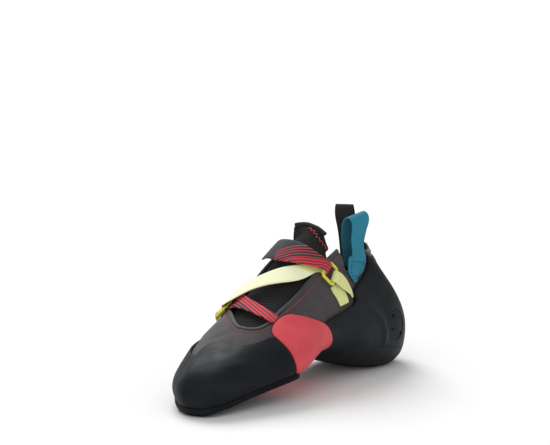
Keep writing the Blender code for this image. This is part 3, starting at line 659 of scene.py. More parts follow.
def knit():
    """Ribbed stretch knit; ribs run across the tongue."""
    look = Look("knit", .9, Specular_IOR_Level=.2)
    along, across = look.cloth()
    wobble = look.times(look.noise(.004, 1.0), .0004)
    rib = look.wave(look.plus(along, wobble), .00165)
    purl = look.wave(across, .0013)
    loops = look.times(rib, look.plus(look.times(purl, .5), .5))
    tone = look.mix(look.remap(loops, .10, .75), (.0026, .0026, .0030), (.036, .036, .038))
    look.paint(tone)
    look.bump(rib, .0005, .9)
    look.bump(purl, .00015, .5)
    return look.material


def webbing(name, dark, light, roughness=.75, **extra):
    """Flat woven tape, with its ribs across."""
    look = Look(name, roughness, Specular_IOR_Level=.3, **extra)
    along, across = look.cloth()
    warp = look.wave(along, .0007)
    weft = look.wave(across, .0011)
    twill = look.times(warp, weft)
    tone = look.mix(look.remap(twill, .1, .8), dark, light)
    tone = look.mix(look.remap(look.noise(.006, 2.0), .35, .75, 0, .25), tone, dark)
    look.paint(tone)
    look.bump(twill, .00022, .7)
    return look.material


def plastic_yellow():
    look = Look("ring_plastic", .28, Coat_Weight=.3, Coat_Roughness=.2)
    tone = look.mix(look.remap(look.noise(.004, 2.0), .3, .7), (.70, .66, .04), (.80, .76, .07))
    look.paint(tone)
    look.bump(look.noise(.0008, 2.0), .00006, .4)
    return look.material


def thread(name, *tones):
    return two_tone(name, .0004, tones, (.0001, .6), .6, 1.0, (.35, .65),
                    Specular_IOR_Level=.4)


def striped_strap():
    """Printed face of the strap: red stripes that cross it at a slant and thin out to lines."""
    look = Look("strap_stripes", .72, Specular_IOR_Level=.3)
    along, across = look.cloth()
    upper = look.remap(along, STRIPE_SPLIT - .001, STRIPE_SPLIT)
    lower = look.math("SUBTRACT", 1.0, upper)
    lower_drift = look.times(along, -LOWER_SLANT)
    past = look.math("MAXIMUM", look.math("SUBTRACT", along, STRIPE_START), 0.0)
    upper_drift = look.times(look.math("POWER", past, UPPER_BEND), UPPER_SLANT)
    drift = look.plus(look.times(lower_drift, lower), look.times(upper_drift, upper))
    count = look.math("DIVIDE", look.plus(across, drift), STRIPE_PITCH)
    share = look.math("FRACT", look.plus(count, STRIPE_MIDDLE))
    late = look.remap(count, STRIPE_THIN - .02, STRIPE_THIN + .02)
    early = look.remap(count, STRIPE_LOW - .02, STRIPE_LOW + .02, 1, 0)
    thin = look.plus(look.times(late, upper), look.times(early, lower))
    width = look.remap(thin, 0, 1, STRIPE_WIDE, STRIPE_LINE)
    red = look.remap(look.math("SUBTRACT", width, share), -.04, .04)
    for value, low, high, first, last in ((share, .0, .06, 0, 1),
                                          (count, STRIPE_LAST - .02, STRIPE_LAST, 1, 0),
                                          (along, TAB_START - .003, TAB_START, 1, 0)):
        red = look.times(red, look.remap(value, low, high, first, last))
    weave = look.wave(along, .0008)
    slate = look.mix(look.remap(along, TAB_START - .012, TAB_START), (.024, .033, .038),
                     (.046, .046, .050))
    tone = look.mix(red, slate, (.74, .045, .070))
    tone = look.mix(look.times(weave, .18), tone, (.012, .012, .014))
    look.paint(tone)
    look.bump(weave, .00015, .6)
    look.bump(red, .0001, .5)
    return look.material


def strap_back():
    """Back of the strap: pale yellow, dark by the first ring, and by the second a dull green-yellow painted
    shadow of the strap's upper run.
    """
    look = Look("strap_back", .62, Specular_IOR_Level=.3)
    along, across = look.cloth()
    weave = look.times(look.wave(along, .0008), look.wave(across, .0012))
    tone = look.mix(look.remap(weave, 0, .9), (.90, .94, .60), (.97, 1.0, .74))
    # Painted shadow: shade cast by the strap's upper run, below a slanting edge by the medial ring.
    slant = look.plus(along, look.times(across, 1.6))
    painted_shadow = look.remap(slant, STRAP_SHADOW_START, STRAP_SHADOW_START + .006, 0, .75)
    tone = look.mix(painted_shadow, tone, (.52, .50, .10))
    dark = look.remap(along, BACK_START - .001, BACK_START, 1, 0)
    tone = look.mix(dark, tone, (.012, .012, .014))
    late = look.remap(along, TAB_START - .030, TAB_START - .020)
    tone = look.mix(late, tone, (.13, .13, .06))
    look.paint(tone)
    look.bump(weave, .00012, .5)
    return look.material


def paper():
    look = Look("pale_floor", .9, Specular_IOR_Level=.0)
    look.paint((.90, .90, .90, 1.0))
    return look.material


# Strap print, in metres along the strap, with stripes counted from its middle line. Wide and
# line are the red shares of a stripe.
STRIPE_PITCH = .0025
STRIPE_WIDE = .70
STRIPE_LINE = .30
STRIPE_MIDDLE = 40.0
STRIPE_SPLIT = .09
STRIPE_START = .148
STRIPE_THIN = 2.0
STRIPE_LOW = -3.0
STRIPE_LAST = 7.0
LOWER_SLANT = .16
UPPER_SLANT = .85
UPPER_BEND = 1.25
TAB_START = .196
BACK_START = .066
# Where the painted shadow of the upper run starts on the strap's back.
STRAP_SHADOW_START = .125

SUEDE = suede()
LINING = two_tone("lining", .0008, ((.018, .018, .020), (.050, .050, .054)), (.0003, .6), .95,
                  1.0, Specular_IOR_Level=.2)
RUBBER = black_rubber("rubber", (.0062, .0080, .0100), (.0115, .0142, .0170), .52)
SOLE_RUBBER = black_rubber("sole_rubber", (.0058, .0066, .0074), (.0105, .0116, .0128), .62)
DISC_RUBBER = black_rubber("disc_rubber", (.0100, .0112, .0124), (.0150, .0165, .0180), .62)
RED_RUBBER = red_rubber()
KNIT = knit()
TRIM = two_tone("trim", .0006, ((.026, .026, .029), (.060, .060, .065)), (.00015, .5), .7,
                Specular_IOR_Level=.35, Sheen_Weight=.1)
BINDING_CLOTH = webbing("binding_cloth", (.012, .013, .015), (.040, .043, .048))
YELLOW_WEB = webbing("yellow_web", (.76, .77, .30), (.94, .95, .50))
TEAL_WEB = webbing("teal_web", (.020, .195, .29), (.040, .31, .43))
# Painted shade: the teal webbing again, darker, for the loop's shaded inner face.
TEAL_SHADED_INNER = webbing("teal_inner_painted_shade", (.010, .105, .16), (.020, .17, .24))
BLACK_WEB = webbing("black_web", (.008, .008, .009), (.030, .030, .033))
RING_PLASTIC = plastic_yellow()
STRAP_FACE = striped_strap()
STRAP_BACK = strap_back()
INSOLE_COVER = two_tone("insole_cover", .0007, ((.028, .028, .030), (.075, .073, .073)),
                        (.0002, .5), .95, Specular_IOR_Level=.2, Sheen_Weight=.2)
RED_THREAD = thread("red_thread", (.45, .02, .035), (.72, .07, .09))
DARK_THREAD = thread("dark_thread", (.008, .03, .045), (.02, .06, .085))
BLACK_THREAD = thread("black_thread", (.01, .01, .012), (.035, .035, .04))


def settle(piece, node):
    """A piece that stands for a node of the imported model."""
    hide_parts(node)
    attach(piece, "root")


def extra(piece, slot):
    """A piece of detail, attached to the root; slot is not used."""
    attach(piece, "root")


# Upper: edges as (u, v) or (v, u) pairs, with v of the lateral side counted as 8 - v
THROAT_START = 3.85
THROAT_MEDIAL = [(3.85, 4.0), (3.90, 3.84), (4.02, 3.73), (4.25, 3.66), (4.9, 3.63), (5.3, 3.54),
                 (5.8, 3.42), (6.3, 3.32), (6.9, 3.22), (7.6, 3.20), (8.6, 3.25), (13, 3.25)]
THROAT_LATERAL = [(3.85, 4.0), (3.90, 3.80), (4.02, 3.67), (4.25, 3.52), (4.7, 3.28), (5.3, 2.99),
                  (6.0, 2.97), (7.0, 3.08), (8.0, 3.18), (8.6, 3.25), (13, 3.25)]
COLLAR_MEDIAL = [(0, 13.1), (.6, 13.05), (1.2, 12.92), (1.8, 12.7), (2.3, 12.42), (2.55, 12.2),
                 (2.70, 11.85), (2.76, 11.3), (2.82, 10.5), (2.88, 9.75), (2.94, 9.3),
                 (2.99, 9.38), (3.04, 9.59), (3.13, 9.87), (3.25, 10.0)]
COLLAR_LATERAL = [(0, 13.1), (.4, 12.95), (.8, 12.62), (1.2, 12.2), (1.6, 11.93), (2.0, 11.4),
                  (2.3, 10.95), (2.5, 10.45), (2.7, 9.9), (2.85, 9.45), (2.93, 9.3),
                  (3.04, 9.5), (3.13, 9.8), (3.25, 10.0)]
COLLAR_PIVOT = 8.0
OPEN_START = .75
OPEN_END = 9.65
OPEN_WIDTH = .65
OPEN_RAMP = .85
# Creases as (path of (u, v) places, depth, width)
SUEDE_CREASES = [
    ([(5.1, 3.35), (5.6, 3.0), (6.1, 2.7)], .00045, .0030),
    ([(8.7, 3.05), (8.1, 2.75), (7.3, 2.62)], .00040, .0024),
    ([(3.75, 4.25), (3.45, 4.5), (3.3, 4.85)], .00035, .0028),
    ([(3.9, 4.9), (3.75, 5.3), (3.8, 5.7)], .00040, .0030),
    ([(6.2, 5.2), (6.5, 5.6), (6.9, 5.9)], .00040, .0030),
    ([(7.6, 5.1), (7.9, 5.5), (8.0, 5.9)], .00035, .0028),
    ([(10.6, 2.7), (10.3, 2.2), (9.8, 1.9)], .00030, .0030),
]


def floor_opening(row):
    """Edge of the hole under the foot, as v."""
    return oval(row, OPEN_START, OPEN_END, OPEN_WIDTH, OPEN_RAMP)


def throat_edge(row, lateral):
    """Upper edge of one side: the instep ridge, or the throat's edge behind its front."""
    if row <= THROAT_START:
        return RIDGE
    return float(edge(THROAT_LATERAL if lateral else THROAT_MEDIAL, row))


def upper_columns(row):
    """Even columns at the front, and columns drawn towards the ankle dip at the back."""
    front = np.linspace(0, 1, 12)
    rear = np.array([0, .6, 1.15, 1.65, 2.1, 2.45, 2.68, 2.82, 2.92, 3.02, 3.14, 3.25])
    low = floor_opening(row)
    rear = (rear + low * ((1 - rear / rear[-1]) ** 3 - 1)) / (rear[-1] - low)
    share = smooth(6.5, 8.8, row)
    return finer(front + share * (rear - front), 4)


def suede_point(u, v):
    """The suede's face, with listed creases and a little unevenness."""
    points = surface(u, v)
    return lift(u, v, reliefs(points, SUEDE_CREASES) + cells(points, .016, .00018))


def make_upper():
    rows = finer([0, .22, .5, .75, .79, .95, 1.25, 1.6, 2.0, 2.4, 2.8, 3.15, 3.5, 3.85, 3.9, 4.02,
                  4.25, 4.6, 4.95, 5.3, 5.7, 6.15, 6.6, 7.05, 7.5, 8.0, 8.4, 8.8, 9.2, 9.5, 9.62,
                  9.65, 10.15, 10.7, 11.25, 11.8, 12.4, 13.0], 4)
    grids = []
    for lateral, collar in ((False, COLLAR_MEDIAL), (True, COLLAR_LATERAL)):
        grids.append(half_grid(rows, upper_columns, floor_opening,
                               lambda row: throat_edge(row, lateral), COLLAR_PIVOT,
                               lambda v: edge(collar, v), lateral))
    piece = shell("suede_upper", grids, suede_point, lambda u, v: lift(u, v, -WALL),
                  [SUEDE, LINING])
    settle(piece, "upper")


# Trim and stitches: distances from the throat's or collar's edge, inwards negative
THROAT_END = 10.0
THROAT_PATH = 240
TRIM_PLACE = -.0009
TRIM_HEIGHT = .0002
TRIM_SIZE = (.0026, .0013)
THROAT_SEAM = -.0044
THROAT_STITCH = (.0014, .0009)
COLLAR_END = 3.0
COLLAR_PATH = 239
COLLAR_SEAM = .0026
COLLAR_STITCH = (.0018, .0010)
SEAM_HEIGHT = .00005
SEAM_ENDS = 4


def throat_path():
    """(u, v) along the throat's edge, from the medial notch round the front to the lateral."""
    share = np.linspace(-1, 1, THROAT_PATH)
    u = THROAT_START + (THROAT_END - THROAT_START) * np.abs(share) ** 1.8
    medial = edge(THROAT_MEDIAL, u)
    lateral = TURN - edge(THROAT_LATERAL, u)
    return u, np.where(share < 0, medial, lateral)


def make_throat_trim():
    """Folded strip along the throat, and a row of red stitches beside it."""
    u, v = throat_path()
    path, out = even(*beside(u, v, TRIM_PLACE, TRIM_HEIGHT), .0012)
    extra(sweep("throat_trim", path, out, oval_profile(*TRIM_SIZE, 10), TRIM), "upper")
    path, out = beside(u, v, THROAT_SEAM, SEAM_HEIGHT)
    inner = slice(SEAM_ENDS, -SEAM_ENDS)
    extra(stitch_row("throat_stitches", path[inner], out[inner], *THROAT_STITCH, RED_THREAD),
          "upper")


def make_collar_stitches():
    """Dark stitches round the collar, from the medial notch over the heel to the lateral."""
    v = np.linspace(COLLAR_END, -COLLAR_END, COLLAR_PATH)
    u = np.where(v > 0, edge(COLLAR_MEDIAL, v), edge(COLLAR_LATERAL, -v))
    extra(stitch_row("collar_stitches", *beside(u, v, COLLAR_SEAM, SEAM_HEIGHT),
                     *COLLAR_STITCH, BLACK_THREAD), "upper")


# Insole, on the turned-under margin
INSOLE_START = 1.35
INSOLE_END = 9.4
INSOLE_WIDTH = .92


def make_insole():
    rows = finer([1.35, 1.37, 1.42, 1.5, 1.7, 2.0, 2.5, 3.1, 3.7, 4.3, 4.9, 5.5, 6.1, 6.7, 7.3,
                  7.9, 8.4, 8.8, 9.15, 9.3, 9.37, 9.4], 3)
    grid = []
    for row in rows:
        half = oval(row, INSOLE_START, INSOLE_END, INSOLE_WIDTH, OPEN_RAMP)
        v = np.linspace(-half, half, 25)
        grid.append(np.stack([np.full_like(v, row), v], axis=-1))
    top = WALL + FIT + GAP + INSOLE
    piece = shell("insole_sheet", [np.array(grid)], lambda u, v: lift(u, v, INSOLE - top),
                  lambda u, v: lift(u, v, -top), [INSOLE_COVER])
    settle(piece, "insole")


# Half sole under the forefoot: its rear edge as (v, u), lateral side negative
SOLE_START = .62
SOLE_RAMP = .98
SOLE_HALF = 1.25
SOLE_REAR = [(-1.25, 5.2), (0, 4.905), (1.25, 4.73)]


def make_outsole():
    shares = finer([0, .003, .008, .018, .03, .05, .07, .10, .13, .20, .28, .36, .44, .52, .60,
                    .68, .76, .84, .92, 1], 3)
    grid = []
    for share in shares:
        row = SOLE_START + share * (SOLE_REAR[1][1] - SOLE_START)
        half = oval(row, SOLE_START, OPEN_ENDED, SOLE_HALF, SOLE_RAMP)
        v = np.linspace(-half, half, 41)
        v = np.concatenate([v[:1], v, v[-1:]])
        u = SOLE_START + share * (edge(SOLE_REAR, v) - SOLE_START)
        grid.append(np.stack([u, v], axis=-1))
    grid = np.array(grid)
    lip = np.zeros(grid.shape[:2])
    lip[:, [0, -1]] = 1
    u, v = grid[..., 0], grid[..., 1]
    top = lift(u, v, FIT + lip * (RAND + GAP))
    under = top.copy()
    under[..., 2] -= np.where(lip > 0, SOLE_EDGE, SOLE - FIT)
    under[..., 2] = np.maximum(under[..., 2], 0)
    piece = skin("sole_rubber_sheet", [under], [top], [SOLE_RUBBER], roundness=.15)
    settle(piece, "outsole")


# Toe rand: rear edge as (v, u)
RAND_LOW = 1.29
RAND_START = .58
RAND_RAMP = 1.02
RAND_PIVOT = 1.6
RAND_MEDIAL = [(1.29, 4.46), (1.5, 4.39), (1.9, 4.30), (2.25, 4.24), (2.6, 4.14), (2.9, 4.04),
               (3.1, 3.98), (3.2, 3.80), (3.26, 3.60), (3.4, 3.30), (3.6, 3.10), (4.0, 3.05)]
RAND_LATERAL = [(1.29, 5.17), (1.7, 5.20), (2.0, 5.15), (2.12, 4.7), (2.3, 3.9), (2.5, 3.35),
                (2.8, 2.80), (3.05, 2.42), (3.18, 2.45), (3.3, 2.80), (3.5, 3.0), (4.0, 3.05)]
RAND_CREASES = [
    ([(3.6, 2.6), (3.0, 2.9), (2.4, 3.3)], .00030, .0040),
    ([(3.9, 2.0), (3.2, 2.2), (2.4, 2.5), (1.6, 2.9)], .00035, .0035),
    ([(2.9, 3.6), (2.3, 3.9), (1.9, 4.4)], .00030, .0035),
]


def rand_point(u, v):
    points = surface(u, v)
    height = FIT + RAND + reliefs(points, RAND_CREASES) + cells(points, .020, .00012, 3.0)
    return lift(u, v, height)


def make_toe_rand():
    rows = finer([0, .2, .42, .58, .61, .75, 1.0, 1.3, 1.6, 2.0, 2.4, 2.8, 3.2, 3.6, 4.0, 4.4], 5)
    medial = [1.29, 1.6, 1.95, 2.3, 2.65, 2.95, 3.1, 3.2, 3.3, 3.42, 3.6, 3.8, 4.0]
    side = [1.29, 1.6, 1.88, 2.02, 2.1, 2.18, 2.28, 2.45, 2.65, 2.85, 3.02, 3.2, 3.45, 3.7, 4.0]

    def low(row):
        return oval(row, RAND_START, OPEN_ENDED, RAND_LOW, RAND_RAMP)

    grids = []
    for lateral in (False, True):
        table = RAND_LATERAL if lateral else RAND_MEDIAL
        columns = (finer(side if lateral else medial, 4) - RAND_LOW) / (RIDGE - RAND_LOW)
        grids.append(half_grid(rows, lambda row: columns, low, lambda row: RIDGE, RAND_PIVOT,
                               lambda v: edge(table, v), lateral))
    piece = shell("toe_rubber", grids, rand_point, lambda u, v: lift(u, v, FIT), [RUBBER],
                  roundness=.4)
    settle(piece, "toe_rand")


# Arch wrap: front and rear edges as (v, u)
WRAP_FRONT = [(-2.15, 5.5), (-2.05, 5.38), (-1.8, 5.24), (-1.33, 5.235), (0, 4.93), (1.2, 4.76),
              (1.3, 4.77), (1.34, 4.56), (1.5, 4.47), (1.9, 4.37), (2.25, 4.31), (2.6, 4.21),
              (2.9, 4.11), (3.15, 4.06), (3.3, 4.13), (3.38, 4.25), (3.42, 4.40)]
WRAP_REAR = [(-2.15, 6.0), (-2.05, 6.25), (-1.8, 6.42), (-1, 6.50), (0, 6.475), (1.25, 6.52),
             (1.55, 6.55), (1.85, 6.50), (2.05, 6.44), (2.25, 6.28), (2.4, 6.05), (2.7, 5.65),
             (3.0, 5.30), (3.3, 4.95), (3.38, 4.75), (3.42, 4.58)]


def wrap_point(u, v):
    """Outside of the wrap: thick beside the rubber, thin over the suede."""
    height = FIT + WRAP + smooth(2.3, 3.4, v) * (WRAP_TOP - WRAP)
    return lift(u, v, height + cells(surface(u, v), .014, .00015, 5.0))


def make_arch_wrap():
    v = finer([-2.15, -2.05, -1.8, -1.55, -1.33, -1.0, -.6, -.2, .2, .6, .95, 1.2, 1.3, 1.34, 1.6,
               1.9, 2.2, 2.5, 2.8, 3.05, 3.25, 3.36, 3.42], 4)
    share = np.linspace(0, 1, 41)[:, None]
    front = edge(WRAP_FRONT, v)
    u = front + share * (edge(WRAP_REAR, v) - front)
    grid = np.stack([u, np.broadcast_to(v, u.shape)], axis=-1)
    piece = shell("red_wrap", [grid], wrap_point, lambda u, v: lift(u, v, FIT), [RED_RUBBER],
                  roundness=.4)
    settle(piece, "arch_wrap")


# Heel cup: front and top edges as (v, u), side edge as (share of the way back, v)
CUP_FRONT = [(0, 6.50), (1.25, 6.56), (1.55, 6.59), (1.85, 6.55), (2.05, 6.49), (2.25, 6.35)]
CUP_TOP = [(-2.45, 10.2), (-2.3, 10.5), (-2.0, 10.95), (-1.6, 11.35), (-1.2, 11.7), (-.8, 12.1),
           (-.4, 12.5), (0, 12.75), (.6, 12.8), (1.2, 12.62), (1.8, 12.35), (2.3, 12.1),
           (2.6, 11.85), (2.7, 11.72)]
CUP_MEDIAL = [(0, 2.25), (.18, 2.33), (.27, 2.40), (.34, 2.46), (.39, 2.53), (.426, 2.62),
              (.494, 2.685), (.616, 2.73), (.741, 2.745), (.943, 2.69), (1, 2.65)]
CUP_LATERAL = [(0, 2.25), (.3, 2.38), (.6, 2.48), (.85, 2.50), (1, 2.45)]
CREST = [(8.48, 2.52), (9.1, 2.40), (9.35, 2.20), (9.3, 2.0), (9.05, 1.78)]
CREST_RISE = 0.0012
CREST_SPREAD = 0.0026
CUP_CREASES = [
    ([(8.45, 1.50), (9.0, 1.62), (9.5, 1.52), (9.85, 1.36)], .0009, .0010),
    ([(8.45, 1.42), (8.9, 1.12), (9.4, .98), (9.85, 1.22)], .0004, .0010),
]
DISC_PLACE = (9.93, 1.88)
HOLE_REACH = (.26, .22)
HOLE_TURN = 50
CUT_REACH = .003
PATCH_PROBE = .05


def cup_height(u, v):
    """Outer height of the heel cup: thick underfoot, with a soft crest on the medial side."""
    side = np.abs(np.mod(v + RIDGE, TURN) - RIDGE)
    thin = smooth(6.6, 7.4, u) - 2 * smooth(11.0, 12.6, u)
    under = smooth(1.6, .8, side) * smooth(6.8, 7.6, u) * smooth(10.6, 9.8, u)
    height = FIT + CUP_SIDE * (.75 + .25 * thin) + (CUP_UNDER - CUP_SIDE) * under
    points = surface(u, v)
    line = along_path(CREST, 60)
    away = np.linalg.norm(points.reshape(-1, 1, 3) - line, axis=-1).min(axis=-1)
    away = away.reshape(points.shape[:-1])
    height = height + CREST_RISE * np.exp(-(away / CREST_SPREAD) ** 2)
    return height + reliefs(points, CUP_CREASES) + cells(points, .022, .00014, 7.0)


def cup_point(u, v, inset=0.0):
    """Point on the heel cup's outside, cut off flat at the floor."""
    point = lift(u, v, cup_height(u, v) - inset)
    point[..., 2] = np.maximum(point[..., 2], 0)
    return point


def patch(place, radius, rings, sides, height):
    """Concentric rings of points about a place on the heel cup, at a height from its face."""
    u0, v0 = place
    step = PATCH_PROBE
    along = np.linalg.norm(surface(u0 + step, v0) - surface(u0 - step, v0)) / (2 * step)
    across = np.linalg.norm(surface(u0, v0 + step) - surface(u0, v0 - step)) / (2 * step)
    angle = np.linspace(0, 2 * math.pi, sides + 1)
    angle[-1] = 0
    reach = np.array(rings)[:, None] * radius
    u = u0 + reach * np.cos(angle) / along
    v = v0 + reach * np.sin(angle) / across
    return cup_point(u, v, -height)


def plug(name, place, radius, rings, sides, high, low, finish, roundness=0):
    """Round solid let into the heel cup, between two heights from its face."""
    return skin(name, [patch(place, radius, rings, sides, high)],
                [patch(place, radius, rings, sides, low)], [finish], roundness=roundness)


def subtract(obj, cutter):
    """Cut one object by another, and drop the cutter."""
    cut = obj.modifiers.new("cut", "BOOLEAN")
    cut.operation = "DIFFERENCE"
    cut.solver = "EXACT"
    cut.object = cutter
    bpy.context.view_layer.update()
    ready = obj.evaluated_get(bpy.context.evaluated_depsgraph_get())
    mesh = bpy.data.meshes.new_from_object(ready)
    obj.modifiers.clear()
    obj.data = mesh
    bpy.data.objects.remove(cutter)


def make_heel_cup():
    shares = finer([0, .06, .12, .18, .24, .30, .36, .41, .453, .50, .55, .6, .66, .72, .78,
                    .84, .90, .95, 1], 7)
    places = np.linspace(-1, 1, 121)
    grid = []
    for share in shares:
        v = places * np.where(places < 0, edge(CUP_LATERAL, share), edge(CUP_MEDIAL, share))
        front = edge(CUP_FRONT, np.abs(v))
        u = front + share * (edge(CUP_TOP, v) - front)
        grid.append(np.stack([u, v], axis=-1))
    cup = shell("heel_rubber", [np.array(grid)], cup_point, lambda u, v: lift(u, v, FIT),
                [RUBBER], roundness=.4)
    rings = np.linspace(0, 1, 9)
    subtract(cup, plug("recess", DISC_PLACE, DISC_RADIUS + GAP, rings, 48, CUT_REACH,
                       -DISC_DEPTH, RUBBER))
    disc = plug("heel_patch", DISC_PLACE, DISC_RADIUS, rings, 48, -GAP, GAP - DISC_DEPTH,
                DISC_RUBBER, roundness=.3)
    for angle in np.radians(HOLE_TURN + 120 * np.arange(3)):
        place = (DISC_PLACE[0] + HOLE_REACH[0] * math.cos(angle),
                 DISC_PLACE[1] + HOLE_REACH[1] * math.sin(angle))
        subtract(disc, plug("hole", place, DISC_HOLE, [0, .5, 1], 20, CUT_REACH, -CUT_REACH,
                            DISC_RUBBER))
    for piece, node in ((cup, "heel_cup"), (disc, "heel_disc")):
        piece.data.shade_smooth()
        piece.data.set_sharp_from_angle(angle=math.radians(45))
        settle(piece, node)


# Tongue: tucked under the throat's edges, free above its last fixed row
TONGUE_TUCK = .30
TONGUE_TOP_X = .395
TONGUE_TOP_Y = -.018
TONGUE_TOP_HALF = .205
TONGUE_CROWN = 1.087
TONGUE_DROP = .037
TONGUE_TILT = .021


def tongue_top(t):
    """Top edge of the tongue, from the lateral corner at -1 to the medial one at 1."""
    x = np.full_like(t, (TONGUE_TOP_X - REST_X) * LENGTH)
    y = (TONGUE_TOP_Y + TONGUE_TOP_HALF * t) * HEEL_WIDTH
    z = STACK + (TONGUE_CROWN - TONGUE_DROP * t * t - TONGUE_TILT * t) * INSTEP_HEIGHT
    lean = np.stack([np.full_like(t, .62), .62 * t, .70 - .2 * t * t], axis=-1)
    return np.stack([x, y, z], axis=-1), unit(lean)


def tongue_layer(depth):
    """Grid of points of the tongue at a depth under the upper's inside."""
    rows = [3.5, 3.85, 4.2, 4.65, 5.1, 5.6, 6.15, 6.7, 7.25, 7.8, 8.35, 8.8, 9.2, 9.6]
    places = np.linspace(1, -1, 10)
    grid = []
    for row in rows:
        tuck = TONGUE_TUCK * (1 - 1.3 * smooth(7.9, 9.2, row))
        medial = throat_edge(row, False) - tuck
        lateral = TURN - throat_edge(row, True) + tuck
        v = (medial + lateral) / 2 - (lateral - medial) / 2 * places
        grid.append(lift(np.full_like(v, row), v, -WALL - depth))
    top, lean = tongue_top(places)
    for share in (.35, .7, 1.0):
        grid.append(grid[len(rows) - 1] * (1 - share) + (top - lean * depth) * share)
    return refine(grid, 6, 6)


def measure(grid):
    """Distances along and across a grid, as its cloth coordinates."""
    steps = np.linalg.norm(np.diff(grid, axis=1), axis=2)
    wide = np.concatenate([np.zeros((len(grid), 1)), np.cumsum(steps, axis=1)], axis=1)
    cloth = np.zeros(grid.shape)
    cloth[..., 0] = distances(grid[:, grid.shape[1] // 2])[:, None]
    cloth[..., 1] = wide - wide[:, -1:] / 2
    return cloth


def read_grid(grid, row, column):
    """Point of a grid at a row and a column that needn't be whole."""
    i, j = min(int(row), len(grid) - 2), min(int(column), grid.shape[1] - 2)
    a, b = row - i, column - j
    return ((grid[i, j] * (1 - a) + grid[i + 1, j] * a) * (1 - b)
            + (grid[i, j + 1] * (1 - a) + grid[i + 1, j + 1] * a) * b)


def make_tongue():
    top = tongue_layer(FIT + GAP)
    under = tongue_layer(FIT + GAP + TONGUE)
    piece = skin("knit_tongue", [top], [under], [KNIT], cloth=[measure(top)])
    settle(piece, "tongue")
    return top


# Zigzag seam: places down the tongue, as shares of its length and of its width
ZIGZAG = [(.966, .49), (.945, .40), (.917, .311), (.857, .241), (.822, .164), (.800, .075),
          (.775, .0)]
ZIGZAG_POINTS = 200
ZIGZAG_STEP = .0017
ZIGZAG_SWING = .0012
ZIGZAG_THREAD = .0003
ZIGZAG_SINK = .05


def make_zigzag(top):
    """Red zigzag seam down the medial side of the tongue."""
    size = np.array(top.shape[:2]) - 1
    out = unit(np.cross(np.gradient(top, axis=0), np.gradient(top, axis=1)))
    line = np.array([read_grid(top, *(np.clip(place, 0, 1) * size))
                     for place in through(ZIGZAG, ZIGZAG_POINTS)])
    nearest = [np.linalg.norm(top - point, axis=2).argmin() for point in line]
    line, outs = even(line, out.reshape(-1, 3)[nearest], ZIGZAG_STEP)
    side = unit(np.cross(np.gradient(line, axis=0), outs))
    swing = np.where(np.arange(len(line)) % 2 == 0, ZIGZAG_SWING, -ZIGZAG_SWING)[:, None]
    knots = line + side * swing
    extra(stitches("zigzag_seam", knots[:-1], knots[1:], outs[:-1], ZIGZAG_THREAD, RED_THREAD,
                   ZIGZAG_SINK), "tongue")


def make_binding():
    """Rolled binding along the tongue's top edge."""
    top, lean = tongue_top(np.linspace(-1.04, 1.04, 61))
    rise = unit(np.cross(lean, np.array([0, 1.0, 0])))
    path = top - lean * (FIT + TONGUE / 2) + rise * (BINDING + 2 * GAP)
    wave = cells(path, .006, .0003, 2.0)[:, None]
    piece = sweep("tongue_roll", path + rise * wave, lean,
                  oval_profile(2 * BINDING, 1.7 * BINDING, 14), BINDING_CLOTH)
    settle(piece, "tongue_binding")


def across(low, high, height, count=3):
    """A row of points over the upper between two (u, v) places."""
    share = np.linspace(0, 1, count)
    u = low[0] + share * (high[0] - low[0])
    v = low[1] + share * (high[1] - low[1])
    return lift(u, v, height)


def fold(low, high, height, radius, toward):
    """Rows of points in a half circle round a bar, from under it to over it."""
    bar = across(low, high, height)
    bar = np.linspace(bar[0], bar[-1], len(bar))
    axis = unit(bar[-1] - bar[0])
    u = (low[0] + high[0]) / 2
    v = (low[1] + high[1]) / 2
    out = normal(u, v)
    out = unit(out - axis * (out @ axis))
    away = np.cross(axis, out)
    away = away * np.sign(away @ (surface(u, v + toward * .05) - surface(u, v)))
    return [bar + radius * (math.sin(turn) * out + math.cos(turn) * away)
            for turn in np.radians([-90, -55, -20, 20, 55, 90])]


def ribbon(name, stations, thickness, finishes, facet=.0011, columns=4):
    """Flat band through rows of points, each row running across it."""
    stations = np.array(stations)
    run = distances(stations.mean(axis=1))
    at = [0.0]
    for start, end in zip(run[:-1], run[1:]):
        pieces = math.ceil((end - start) / facet)
        at += [start + (end - start) * (i + 1) / pieces for i in range(pieces)]
    flat = natural_spline(run, stations.reshape(len(stations), -1), np.array(at))
    rows = refine(flat.reshape(len(at), -1, 3), 1, columns)
    out = unit(np.cross(np.gradient(rows, axis=1), np.gradient(rows, axis=0)))
    half = out * thickness / 2
    piece = skin(name, [rows - half], [rows + half], finishes, cloth=[measure(rows)])
    return piece, rows, out


# Strap, rings and anchors: bars as two (u, v) places, rows as two places and a height
BAR_HEIGHT = WIRE + 3 * GAP + STRAP
TURN_RADIUS = WIRE + GAP + STRAP / 2
ANCHOR_RADIUS = WIRE + GAP + WEBBING / 2
ANCHOR_REST = WEBBING / 2 + GAP
RING_MARGIN = 0.0024
RING_CORNER = 0.0024
LATERAL_BAR = ((5.12, 5.04), (5.72, 5.02))
MEDIAL_BAR = ((7.45, 3.12), (8.05, 3.17))
LATERAL_ANCHOR = ((5.14, 5.32), (5.70, 5.30))
MEDIAL_ANCHOR = ((7.64, 2.87), (8.18, 2.99))
STRAP_LOWER = [((4.35, 3.47), (4.64, 3.47), .0016), ((4.34, 3.68), (4.66, 3.68), .0018),
               ((4.42, 4.02), (4.79, 4.02), .0018), ((4.64, 4.36), (5.10, 4.38), .0018),
               ((4.86, 4.62), (5.38, 4.62), .0018), ((5.03, 4.84), (5.60, 4.82), .0016)]
STRAP_MIDDLE = [((5.25, 4.84), (5.88, 4.84), .0050), ((5.50, 4.64), (6.10, 4.68), .0040),
                ((5.70, 4.32), (6.28, 4.38), .0030), ((5.86, 3.95), (6.50, 4.02), .0026),
                ((6.24, 3.55), (6.88, 3.62), .0020), ((6.84, 3.30), (7.50, 3.37), .0014)]
